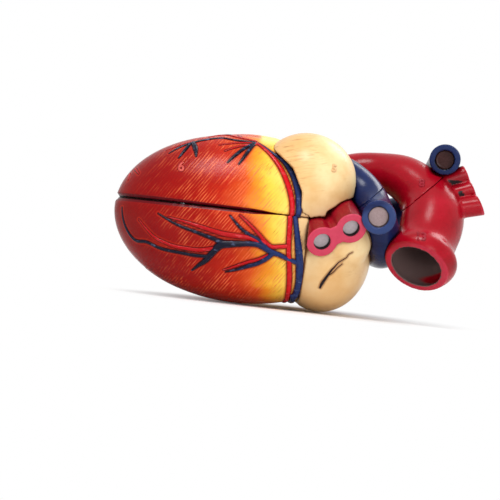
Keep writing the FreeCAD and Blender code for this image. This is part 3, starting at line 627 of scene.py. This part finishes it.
def numeral(name, text, skin, x, z, tall, body, slot):
    """A small raised number on the skin, tall mm high, as read from the left."""
    curve = bpy.data.curves.new(name, "FONT")
    curve.body, curve.size = text, tall * 1.35 * MM
    curve.align_x, curve.align_y = "CENTER", "CENTER"
    curve.extrude, curve.bevel_depth, curve.resolution_u = 0.16 * MM, 0.14 * MM, 4
    source = bpy.data.objects.new(name, curve)
    bpy.context.collection.objects.link(source)
    deps = bpy.context.evaluated_depsgraph_get()
    mesh = bpy.data.meshes.new_from_object(source.evaluated_get(deps))
    bpy.data.objects.remove(source)
    for vertex in mesh.vertices:
        across, up, out = vertex.co
        origin, way = from_left(x + across / MM, z + up / MM)
        place, normal, _, _ = skin.ray_cast(origin + way * OUTSIDE, -way)
        vertex.co = place + normal * (out + 0.08 * MM)
    mesh.materials.clear()
    return add_piece(name, mesh, body=body, slot=slot)


def discs(node, narrower=1.3 * MM):
    """A node's magnet discs, a little narrower than their seats so that the glue line shows."""
    mesh = frame["nodes"][node].data.copy()
    mesh.materials.clear()
    form = bmesh.new()
    form.from_mesh(mesh)
    bmesh.ops.remove_doubles(form, verts=form.verts, dist=1e-6)
    loose = set(form.verts)
    while loose:
        island, edge = set(), [next(iter(loose))]
        while edge:
            vert = edge.pop()
            if vert not in island:
                island.add(vert)
                edge += [e.other_vert(vert) for e in vert.link_edges]
        middle = sum((v.co for v in island), Vector()) / len(island)
        for vert in island:
            out = Vector((vert.co.x - middle.x, vert.co.y - middle.y, 0))
            if out.length > narrower:
                vert.co -= out.normalized() * narrower
        loose -= island
    form.to_mesh(mesh)
    form.free()
    obj = add_piece(f"{node}_discs", mesh, node)
    bevel = obj.modifiers.new("Bevel", "BEVEL")
    bevel.width, bevel.segments, bevel.limit_method = 0.25 * MM, 2, "ANGLE"
    return applied(obj)


def tube_ends(obj, *ends):
    """Marks each end's flat rim and the floor of its bore: (centre, way, bore radius, depth)."""
    rim, floor, bore = [], [], []
    for vertex in obj.data.vertices:
        p = heart_mm(vertex.co)
        marks = [0.0, 0.0, 0.0]
        for centre, way, radius, deep in ends:
            way = Vector(way).normalized()
            t = (p - Vector(centre)).dot(way)
            r = (p - Vector(centre) - way * t).length
            if t < -deep - 2 or r > radius * 3:
                continue
            marks[0] = max(marks[0], step(t, -0.75, -0.35) * step(r, radius - 0.5, radius))
            if r < radius + 0.45 and (vertex.normal.dot(way) > 0.5 or (
                    Vector(centre) + way * t - p).dot(vertex.normal) > 0):
                # the floor stops short of the bore wall, leaving a ring of the bore's near-black
                # painted shade round it
                marks[1] = max(marks[1], step(-t, deep - 1.1, deep - 0.5) * step(radius - r, 0.1, 0.6))
                marks[2] = max(marks[2], step(-t, 0.3, 0.8))
        for values, mark in zip((rim, floor, bore), marks):
            values.append(mark)
    set_values(obj, "rim", rim)
    set_values(obj, "floor", floor)
    set_values(obj, "bore", bore)


def tube_inside(obj, route):
    """Marks the faces that look at a tube's middle: route is [(point, outer radius), ...]."""
    inside = []
    spots = []
    per_leg = 6
    for (a, ra), (b, rb) in zip(route, route[1:]):
        for i in range(per_leg):
            t = i / per_leg
            spots.append((Vector(a).lerp(Vector(b), t), ra + (rb - ra) * t))
    spots.append((Vector(b), rb))
    for vertex in obj.data.vertices:
        p = heart_mm(vertex.co)
        spot, radius = min(spots, key=lambda s: (s[0] - p).length_squared)
        inward = (spot - p).normalized().dot(vertex.normal)
        deep = radius - (spot - p).length
        # where the branches leave, the skin faces the middle too, so only deeper points count
        low, high = (2.6, 3.2) if p.x > 70 and p.z > 5 else (1.3, 1.9)
        inside.append(step(deep, low, high) * step(inward, 0.1, 0.4))
    set_values(obj, "inside", inside)


def hollows(obj, tree, lowest_x, reach=5 * MM, rays=6):
    """Marks how closed in each point past lowest_x is, for the painted crease shade there."""
    values = []
    for vertex in obj.data.vertices:
        if vertex.co.x < lowest_x:
            values.append(0.0)
            continue
        normal = vertex.normal
        side = normal.orthogonal().normalized()
        other = normal.cross(side)
        start = vertex.co + normal * 0.25 * MM
        shut = 0.0
        # the rays fan out to about 64 degrees from the normal
        for i in range(rays):
            turn = i * GOLDEN_ANGLE
            lean = math.sqrt((i + 0.5) / rays) * 0.94
            way = ((side * math.cos(turn) + other * math.sin(turn)) * lean
                   + normal * math.sqrt(1 - lean ** 2))
            _, _, _, distance = tree.ray_cast(start, way, reach)
            if distance is not None:
                shut += 1 - distance / reach
        values.append(min(1.0, shut / rays * 1.6))
    set_values(obj, "hollow", values)


def nearness(obj, tree, name, reach=2.2 * MM):
    """Marks how near each point is to the surface of tree: 1 touching it, 0 reach away."""
    values = []
    for vertex in obj.data.vertices:
        _, _, _, distance = tree.find_nearest(vertex.co, reach)
        values.append(0.0 if distance is None else 1 - distance / reach)
    set_values(obj, name, values)


# ------------------------------------------------------------------ paints of this model
def srgb(r, g, b):
    """A colour given as 0-255 sRGB numbers, in linear light."""
    return tuple(c / 12.92 if c <= 0.04045 else ((c + 0.055) / 1.055) ** 2.4
                 for c in (r / 255, g / 255, b / 255))


def brushed(paint, depth=0.03, size=1.2):
    """The slight waviness of brushed gloss paint."""
    wave = paint.noise(size * MM * 3, 4, (1, 1.6, 0.8))
    fine = paint.noise(size * MM * 0.5, 3)
    paint.raise_by(paint.maths("MULTIPLY", wave, depth * MM * 4))
    return paint.raise_by(paint.maths("MULTIPLY", fine, depth * MM))


def painted_crease_shade(paint, colour, strength=0.8, low=0.12, high=0.75):
    """Painted shade: a darker colour in hollows and creases, where shade falls."""
    mask = paint.reach(paint.attribute("hollow"), low, high)
    return paint.over(colour, paint.maths("MULTIPLY", mask, strength))


def muscle_paint():
    paint = Paint("heart_muscle", srgb(205, 50, 30), 0.27)
    x = paint.along((1, 0, 0))
    lumps = paint.maths("SUBTRACT", paint.noise(16 * MM, 3, (0.5, 1, 1)), 0.5)
    sway = paint.maths("MULTIPLY", lumps, 22 * MM)
    slant = paint.maths("ADD", paint.maths("ADD", x, sway),
                        paint.maths("MULTIPLY", paint.along((0, 0, 1), SEAM_Z), 0.16))
    back = paint.along((0, 1, 0))
    far = paint.maths("SUBTRACT", slant,
                      paint.maths("MULTIPLY", paint.reach(back, -0.012, 0.03), 0.014))
    warm = paint.maths("MULTIPLY", paint.maths("ADD", far, 0.094), 1 / 0.1)
    paint.colour = paint.ramp(warm, [
        (0.0, srgb(128, 20, 14)), (0.2, srgb(136, 8, 10)), (0.42, srgb(156, 16, 8)),
        (0.57, srgb(186, 36, 12)), (0.67, srgb(216, 82, 26)), (0.74, srgb(240, 152, 36)),
        (0.8, srgb(251, 204, 72)), (0.92, srgb(254, 225, 116))])
    paint.shader.inputs["Specular IOR Level"].default_value = 0.08
    paint.shader.inputs["Coat Weight"].default_value = 0.08
    # brushed fibres, lower left to upper right as seen from the left
    fibre = paint.lines(1.3 * MM, (0, math.radians(-34), 0), 4.0, 3)
    stroke = paint.strokes(0.8 * MM, (0, math.radians(34), 0), 11)
    fibre = paint.maths("ADD", paint.maths("MULTIPLY", fibre, 0.24),
                        paint.maths("MULTIPLY", stroke, 0.9))
    shown = paint.maths("MULTIPLY", paint.reach(fibre, 0.56, 0.78),
                        paint.maths("MULTIPLY", paint.reach(paint.noise(9 * MM, 2), 0.3, 0.62),
                                    paint.reach(far, -0.085, -0.045)))
    paint.over(srgb(232, 112, 66), paint.maths("MULTIPLY", shown, 0.75))
    dark = paint.maths("MULTIPLY", paint.reach(fibre, 0.56, 0.4),
                       paint.reach(paint.noise(7 * MM, 3), 0.4, 0.7))
    paint.over(srgb(140, 14, 10), paint.maths("MULTIPLY", dark, 0.4))
    paint.raise_by(paint.maths("MULTIPLY", fibre, 0.12 * MM))
    # fat on the top of the outflow cone and on the slanting base
    cone = paint.maths("MULTIPLY", paint.reach(paint.along((0, 0, 1)), 0.078, 0.083),
                       paint.reach(x, -0.026, -0.022))
    paint.over(srgb(252, 224, 128), paint.maths("MAXIMUM", cone, paint.attribute("fat")))
    # painted shade and a dark paint line round the foot of the vessels, and a little drybrushed orange
    # beyond
    near = paint.attribute("vessel")
    paint.over(srgb(190, 40, 16), paint.maths("MULTIPLY", paint.reach(near, 0.3, 0.75), 0.6))
    paint.over(srgb(40, 3, 8), paint.maths("MULTIPLY", paint.reach(near, 0.66, 0.93), 0.9))
    # the parting edge: a dark red paint band that narrows away from the apex, partly painted shade of
    # the groove, deepening to a near-black painted shade line in its middle
    seam = paint.maths("ABSOLUTE", paint.along((0, 0, 1), SEAM_Z))
    width = paint.maths("ADD", paint.maths("MULTIPLY", paint.reach(x, -0.008, -0.026), 1.25 * MM),
                        paint.maths("ADD", 0.25 * MM,
                                    paint.maths("MULTIPLY", paint.reach(x, -0.026, -0.08), 0.6 * MM)))
    band = paint.maths("SUBTRACT", 1.0, paint.maths("DIVIDE", seam, width), clamp=True)
    paint.over(srgb(96, 4, 14), paint.reach(band, 0.0, 0.2))
    paint.over(srgb(14, 1, 4), paint.reach(band, 0.55, 0.8))
    # past the groove vessels the base is cream, as the atrium beside it
    below = paint.maths("SUBTRACT", 0.0, paint.along((0, 0, 1), SEAM_Z))
    edge = paint.maths("SUBTRACT", x, paint.maths("MULTIPLY", paint.reach(below, 0, 20 * MM), 3.6 * MM))
    paint.over(srgb(244, 206, 148), paint.reach(edge, -1.6 * MM, -1.0 * MM))
    # painted shade round the foot of the raised numerals
    number = paint.reach(paint.attribute("number"), 0.15, 0.8)
    paint.over(srgb(120, 14, 16), paint.maths("MULTIPLY", number, 0.7))
    # painted shade in the creases near the base
    painted_crease_shade(paint, srgb(84, 8, 12), 0.75)
    # painted shade: under the model and along its bottom edge the colour is deeper, where less light
    # falls
    low = paint.reach(paint.along((0, 0, 1)), 0.012, 0.0)
    paint.over(srgb(150, 40, 18), paint.maths("MULTIPLY", low, 0.5))
    # the inside: chambers in a pale fleshy pink, the parting face in muscle red
    flesh = paint.ramp(paint.noise(5 * MM, 5), [(0.3, srgb(196, 92, 74)), (0.7, srgb(226, 138, 112))])
    paint.over(flesh, paint.attribute("inside"))
    meat = paint.ramp(paint.noise(3 * MM, 6, (0.35, 1, 1)), [
        (0.3, srgb(150, 30, 26)), (0.72, srgb(190, 58, 44))])
    paint.over(meat, paint.attribute("cut"))
    return brushed(paint).done()


def cream_paint():
    paint = Paint("atrium_cream", srgb(246, 211, 156), 0.3)
    patches = paint.ramp(paint.noise(14 * MM, 4), [
        (0.28, srgb(233, 186, 122)), (0.5, srgb(246, 211, 154)), (0.72, srgb(252, 229, 178))])
    paint.over(patches, 0.9)
    left_end = paint.maths("MULTIPLY", paint.reach(paint.along((1, 0, 0)), 0.012, -0.008),
                           paint.reach(paint.along((0, 0, 1)), 0.052, 0.07))
    paint.over(srgb(222, 166, 98), paint.maths("MULTIPLY", left_end, 0.6))
    streak = paint.strokes(0.7 * MM, (0, math.radians(76), 0), 9)
    patchy = paint.maths("MULTIPLY", paint.reach(paint.noise(9 * MM, 3), 0.5, 0.7), 0.35)
    where = paint.maths("ADD", paint.maths("MULTIPLY", left_end, 0.8), patchy)
    mask = paint.maths("MULTIPLY", paint.reach(streak, 0.5, 0.72), where)
    paint.over(srgb(188, 128, 68), paint.maths("MULTIPLY", mask, 0.7))
    # painted shade: a deeper tan towards the bottom
    low = paint.reach(paint.along((0, 0, 1)), 0.034, 0.004)
    paint.over(srgb(214, 158, 92), paint.maths("MULTIPLY", low, 0.55))
    # painted shade and a dark paint line round the foot of the vessels
    near = paint.attribute("vessel")
    paint.over(srgb(150, 84, 40), paint.maths("MULTIPLY", paint.reach(near, 0.5, 0.95), 0.7))
    # painted shade round the foot of the raised numerals
    number = paint.reach(paint.attribute("number"), 0.3, 0.9)
    paint.over(srgb(196, 146, 96), paint.maths("MULTIPLY", number, 0.5))
    # painted shade in the creases
    painted_crease_shade(paint, srgb(150, 86, 40), 0.85)
    flesh = paint.ramp(paint.noise(4 * MM, 5), [(0.3, srgb(214, 128, 104)), (0.7, srgb(238, 176, 146))])
    paint.over(flesh, paint.attribute("inside"))
    return brushed(paint, 0.02).done()


def vessel_paint(name, body, light, dark, rim, floor, inside):
    """Gloss paint for a great vessel, with its cut rim, its plug's floor, and its bore in painted
    shade.
    """
    paint = Paint(name, srgb(*body), 0.24)
    shade = paint.noise(11 * MM, 4, (0.6, 1, 1))
    paint.over(srgb(*light), paint.maths("MULTIPLY", paint.reach(shade, 0.52, 0.8), 0.55))
    paint.over(srgb(*dark), paint.maths("MULTIPLY", paint.reach(shade, 0.48, 0.2), 0.6))
    streak = paint.noise(1.6 * MM, 4, (0.18, 1, 1))
    paint.over(srgb(*dark), paint.maths("MULTIPLY", paint.reach(streak, 0.56, 0.76), 0.3))
    # painted shade in the creases
    painted_crease_shade(paint, srgb(*(c // 2 for c in dark)), 0.8, 0.3, 0.95)
    # painted shade round the foot of the raised numerals
    number = paint.reach(paint.attribute("number"), 0.3, 0.9)
    paint.over(srgb(*dark), paint.maths("MULTIPLY", number, 0.5))
    wear = paint.maths("ADD", 0.72, paint.maths("MULTIPLY", paint.noise(2.5 * MM, 4), 0.28))
    paint.over(srgb(*rim), paint.maths("MULTIPLY", paint.attribute("rim"), wear))
    # the bore walls in near-black painted shade
    paint.over(srgb(*(c // 4 for c in dark)), paint.attribute("bore"))
    speck = paint.ramp(paint.noise(0.9 * MM, 5), [
        (0.3, srgb(*(max(0, c - 7) for c in floor))), (0.7, srgb(*(min(255, c + 6) for c in floor)))])
    paint.over(speck, paint.attribute("floor"))
    paint.over(srgb(*inside), paint.attribute("inside"))
    return brushed(paint, 0.022).done()


def plain_paint(name, low, high, size):
    """A gloss paint that only varies a little, for the small parts inside."""
    paint = Paint(name, srgb(*low), 0.3)
    paint.over(paint.ramp(paint.noise(size * MM, 5), [(0.3, srgb(*low)), (0.7, srgb(*high))]), 1.0)
    return brushed(paint, 0.02, 0.8).done()


def relief_paint(name, far, near, shine):
    """Paint for the raised vessels: deep towards the apex, brighter in the groove, with painted
    highlights in patches.
    """
    paint = Paint(name, srgb(*far), 0.2)
    x = paint.maths("ADD", paint.along((1, 0, 0)),
                    paint.maths("MULTIPLY", paint.noise(8 * MM, 3), 0.012))
    paint.over(srgb(*near), paint.reach(x, -0.026, 0.002))
    deep = paint.reach(paint.noise(2.2 * MM, 4), 0.5, 0.7)
    paint.over(srgb(*far), paint.maths("MULTIPLY", deep, 0.5))
    # painted highlights in patches
    highlight_patches = paint.reach(paint.noise(1.6 * MM, 4, (0.4, 1, 1)), 0.56, 0.72)
    paint.over(srgb(*shine), paint.maths("MULTIPLY", highlight_patches, 0.45))
    return brushed(paint, 0.02, 0.8).done()


def metal(name, colour, stretch):
    """Bright metal with a fine grain, drawn out by stretch."""
    paint = Paint(name, srgb(*colour), 0.3)
    paint.shader.inputs["Metallic"].default_value = 1.0
    paint.shader.inputs["Coat Weight"].default_value = 0.0
    grain = paint.noise(0.5 * MM, 4, stretch)
    paint.over(srgb(*(c - 40 for c in colour)),
               paint.maths("MULTIPLY", paint.reach(grain, 0.45, 0.8), 0.6))
    paint.raise_by(paint.maths("MULTIPLY", grain, 0.01 * MM))
    return paint


def shaded_sides(paint):
    """Painted shade on the sides of a disc that lies flat, dark and not metal there, so that only its
    face is metal.
    """
    node = paint.nodes.new("ShaderNodeVectorMath")
    node.operation = "DOT_PRODUCT"
    paint.links.new(paint.nodes["Texture Coordinate"].outputs["Normal"], node.inputs[0])
    node.inputs[1].default_value = (0, 0, 1)
    side = paint.reach(paint.maths("ABSOLUTE", node.outputs["Value"]), 0.75, 0.45)
    paint.over(srgb(34, 12, 12), side)
    paint.links.new(paint.maths("SUBTRACT", 1.0, side), paint.shader.inputs["Metallic"])
    return paint


# ------------------------------------------------------------------ the pieces
# the aorta's middle line and its outer radius there
AORTA = [((-6, 1, 6), 12), ((3.5, 6, 10), 12), ((14, 11, 19), 11), ((27, 14.5, 27.5), 10),
         ((40, 12, 29.5), 9.5), ((50, 7, 27.5), 11.4), ((61, 0, 20), 13.2), ((66.6, -7, 10.5), 15.6),
         ((65.8, -14.5, 0.5), 15.6), ((63.2, -22, -9), 15.8), ((59.6, -29.5, -17.7), 16)]
VEIN_WAY = (0.25, -0.88, -0.4)
# the vessels' cut ends: centre, the way out, bore radius, depth of the bore
ENDS = {
    "left_pulmonary_veins": [((11.4, -47.8, -11), VEIN_WAY, 4.2, 3),
                             ((24.7, -47.65, -3), VEIN_WAY, 4.2, 3)],
    "right_pulmonary_veins": [((14, 54.8, -31.9), (0.05, 1, -0.12), 4.2, 3),
                              ((29, 54.8, -27.9), (0.05, 1, -0.12), 4.2, 3)],
    "left_pulmonary_artery": [((37.1, -50, 3.9), (0.4, -12, -2.3), 5, 3)],
    "right_pulmonary_artery": [((37, 53, -10), (-2, 23, 1), 5, 4)],
    "left_brachiocephalic_vein": [((69.5, -12, 37.7), (-0.1, -1, -0.05), 4.9, 6)],
    "right_brachiocephalic_vein": [((80, 39, 27), (8, 7, 2), 3.8, 4)],
    "inferior_vena_cava": [((-45, 50, -15.5), (-13, 2, -1), 7, 5)],
    "aortic_arch": [((59.6, -29.5, -17.7), (-3.6, -7.5, -8.7), 12.5, 90)],
    "brachiocephalic_artery": [((82.4, -2, 32.3), (0.9, 0, 0.43), 2.6, 5)],
    "left_common_carotid_artery": [((86.2, -5, 25.1), (0.93, 0, 0.36), 2.6, 5)],
    "left_subclavian_artery": [((90.5, -9, 17.1), (0.96, 0, 0.26), 2.6, 5)],
}
# how fine each casting's mesh is, in millimetres, and how often it is softened
FINE = {
    "back_ventricle_wall": (0.8, 3), "front_ventricle_wall": (0.8, 3),
    "left_atrium": (0.7, 5), "right_atrium": (0.8, 5),
    "left_auricle": (0.7, 5), "right_auricle": (0.8, 5),
    "left_pulmonary_veins": (0.4, 3), "right_pulmonary_veins": (0.55, 3),
    "left_pulmonary_artery": (0.5, 2), "pulmonary_trunk": (0.5, 2), "superior_vena_cava": (0.5, 3),
    "inferior_vena_cava": (0.6, 3), "aortic_arch": (0.55, 3), "ascending_aorta": (0.6, 3),
    "mitral_valve": (0.4, 3), "tricuspid_valve": (0.4, 3), "aortic_valve": (0.4, 2),
    "pulmonary_valve": (0.4, 2), "papillary_muscles": (0.5, 5), "chordae_tendineae": (0.28, 1),
}
# pieces that are moulded in one with the first
WITH = {
    "aortic_arch": ("brachiocephalic_artery", "left_common_carotid_artery", "left_subclavian_artery"),
    "superior_vena_cava": ("left_brachiocephalic_vein", "right_brachiocephalic_vein"),
    "left_pulmonary_artery": ("right_pulmonary_artery",),
}
castings = {node: cast(clone(node, *WITH.get(node, ())), voxel * MM, soften)
            for node, (voxel, soften) in FINE.items()}
for node in ("back_ventricle_wall", "front_ventricle_wall"):
    carve_parting(castings[node])
proud_lip(castings["ascending_aorta"], (61, 0, 19.75), (0.717, 0, -0.697))

walls = tree_of(castings["back_ventricle_wall"], castings["front_ventricle_wall"])
RELIEF = {
    "back_coronary_arteries": ("back_artery_relief", BACK_ARTERIES, 0.5),
    "back_cardiac_veins": ("back_vein_relief", BACK_VEINS, 0.75),
    "front_coronary_arteries": ("front_artery_relief", FRONT_ARTERIES, 0.5),
    "front_cardiac_veins": ("front_vein_relief", FRONT_VEINS, 0.75),
}
relief = {node: vessels(name, walls, routes, node, proud=proud)
          for node, (name, routes, proud) in RELIEF.items()}
magnets = {node: discs(node) for node in ("back_magnets", "front_magnets")}
oblique = vessels("oblique_vein", tree_of(castings["left_atrium"]), OBLIQUE_VEIN, proud=0.5,
                  body="back_half", slot="coronary_blue")
numerals = {
    "wall": numeral("number_wall", "6", walls, -60.9, 17.6, 5, "front_half", "heart_muscle"),
    "aorta": numeral("number_aorta", "8", tree_of(castings["ascending_aorta"]), 59.2, 24.4, 4,
                     "front_half", "vessel_crimson"),
    "arch": numeral("number_arch", "13", tree_of(castings["aortic_arch"]), 59.4, -2.8, 4,
                    "back_half", "vessel_crimson"),
    "auricle": numeral("number_auricle", "5", tree_of(castings["left_auricle"]), 13.2, 25.2, 3.6,
                       "front_half", "atrium_cream"),
}
vessel_tree = tree_of(*relief.values(), oblique)
number_tree = tree_of(*numerals.values())
all_pieces = tree_of(*castings.values(), *relief.values())

for node, obj in castings.items():
    ends = [end for part in (node, *WITH.get(node, ())) for end in ENDS.get(part, ())]
    if ends:
        tube_ends(obj, *ends)
    is_wall = "ventricle_wall" in node
    if is_wall:
        wall_zones(obj)
    if node in ("aortic_arch", "ascending_aorta"):
        tube_inside(obj, AORTA)
    if is_wall or node in ("left_atrium", "left_auricle", "right_atrium", "right_auricle"):
        nearness(obj, vessel_tree, "vessel")
    if node in ("front_ventricle_wall", "left_auricle", "aortic_arch", "ascending_aorta"):
        nearness(obj, number_tree, "number", 0.9 * MM)
    if "valve" not in node and node not in ("papillary_muscles", "chordae_tendineae"):
        # on the walls the painted crease shade is kept to near the base
        hollows(obj, all_pieces, -16 * MM if is_wall else -1)

CRIMSON = ((160, 6, 26), (190, 22, 46), (104, 2, 16))
NAVY = ((20, 32, 76), (44, 62, 118), (8, 14, 40))
PAINTS = {
    "heart_muscle": muscle_paint(),
    "atrium_cream": cream_paint(),
    "lung_vein_red": vessel_paint("lung_vein_red", (140, 10, 28), (176, 26, 48), (92, 4, 16),
                                  rim=(214, 70, 98), floor=(186, 174, 178), inside=(120, 20, 30)),
    "vessel_blue": vessel_paint("vessel_blue", *NAVY, rim=(46, 64, 112), floor=(176, 152, 152),
                                inside=(40, 40, 60)),
    "arm_vein_blue": vessel_paint("arm_vein_blue", *NAVY, rim=(26, 42, 88), floor=(78, 40, 38),
                                  inside=(40, 40, 60)),
    "vessel_crimson": vessel_paint("vessel_crimson", *CRIMSON, rim=(186, 40, 62), floor=(92, 72, 70),
                                   inside=(104, 84, 82)),
    "valve_cream": plain_paint("valve_cream", (226, 196, 150), (246, 226, 188), 2.5),
    "papillary_red": plain_paint("papillary_red", (136, 34, 30), (188, 70, 52), 2.0),
    "coronary_red": relief_paint("coronary_red", (176, 6, 14), (206, 16, 28), (232, 92, 100)),
    "coronary_blue": relief_paint("coronary_blue", (10, 12, 34), (32, 50, 104), (112, 128, 172)),
    "oblique_black": relief_paint("oblique_black", (22, 16, 22), (30, 22, 26), (96, 84, 84)),
    "numeral_red": plain_paint("numeral_red", (176, 44, 40), (214, 96, 84), 1.5),
    "numeral_crimson": plain_paint("numeral_crimson", (128, 6, 24), (168, 28, 50), 1.5),
    "numeral_tan": plain_paint("numeral_tan", (220, 174, 124), (240, 202, 152), 1.5),
    "magnet_nickel": shaded_sides(metal("magnet_nickel", (196, 194, 188), (1, 1, 0.1))).done(),
    "pin_steel": metal("pin_steel", (178, 180, 184), (1, 1, 0.05)).done(),
}

# the casting of the superior vena cava takes in the arm veins, whose plugs are darker
OWN_PAINT = {"superior_vena_cava": "arm_vein_blue"}
dressed = [(obj, OWN_PAINT.get(node, SLOT_OF[node]))
           for node, obj in [*castings.items(), *relief.items(), *magnets.items()]]
dressed += [(oblique, "oblique_black"), (numerals["wall"], "numeral_red"),
            (numerals["aorta"], "numeral_crimson"), (numerals["arch"], "numeral_crimson"),
            (numerals["auricle"], "numeral_tan")]
for obj, paint in dressed:
    obj.data.materials.clear()
    obj.data.materials.append(PAINTS[paint])
for slot in frame["nodes"]["locating_pins"].material_slots:
    slot.material = PAINTS["pin_steel"]
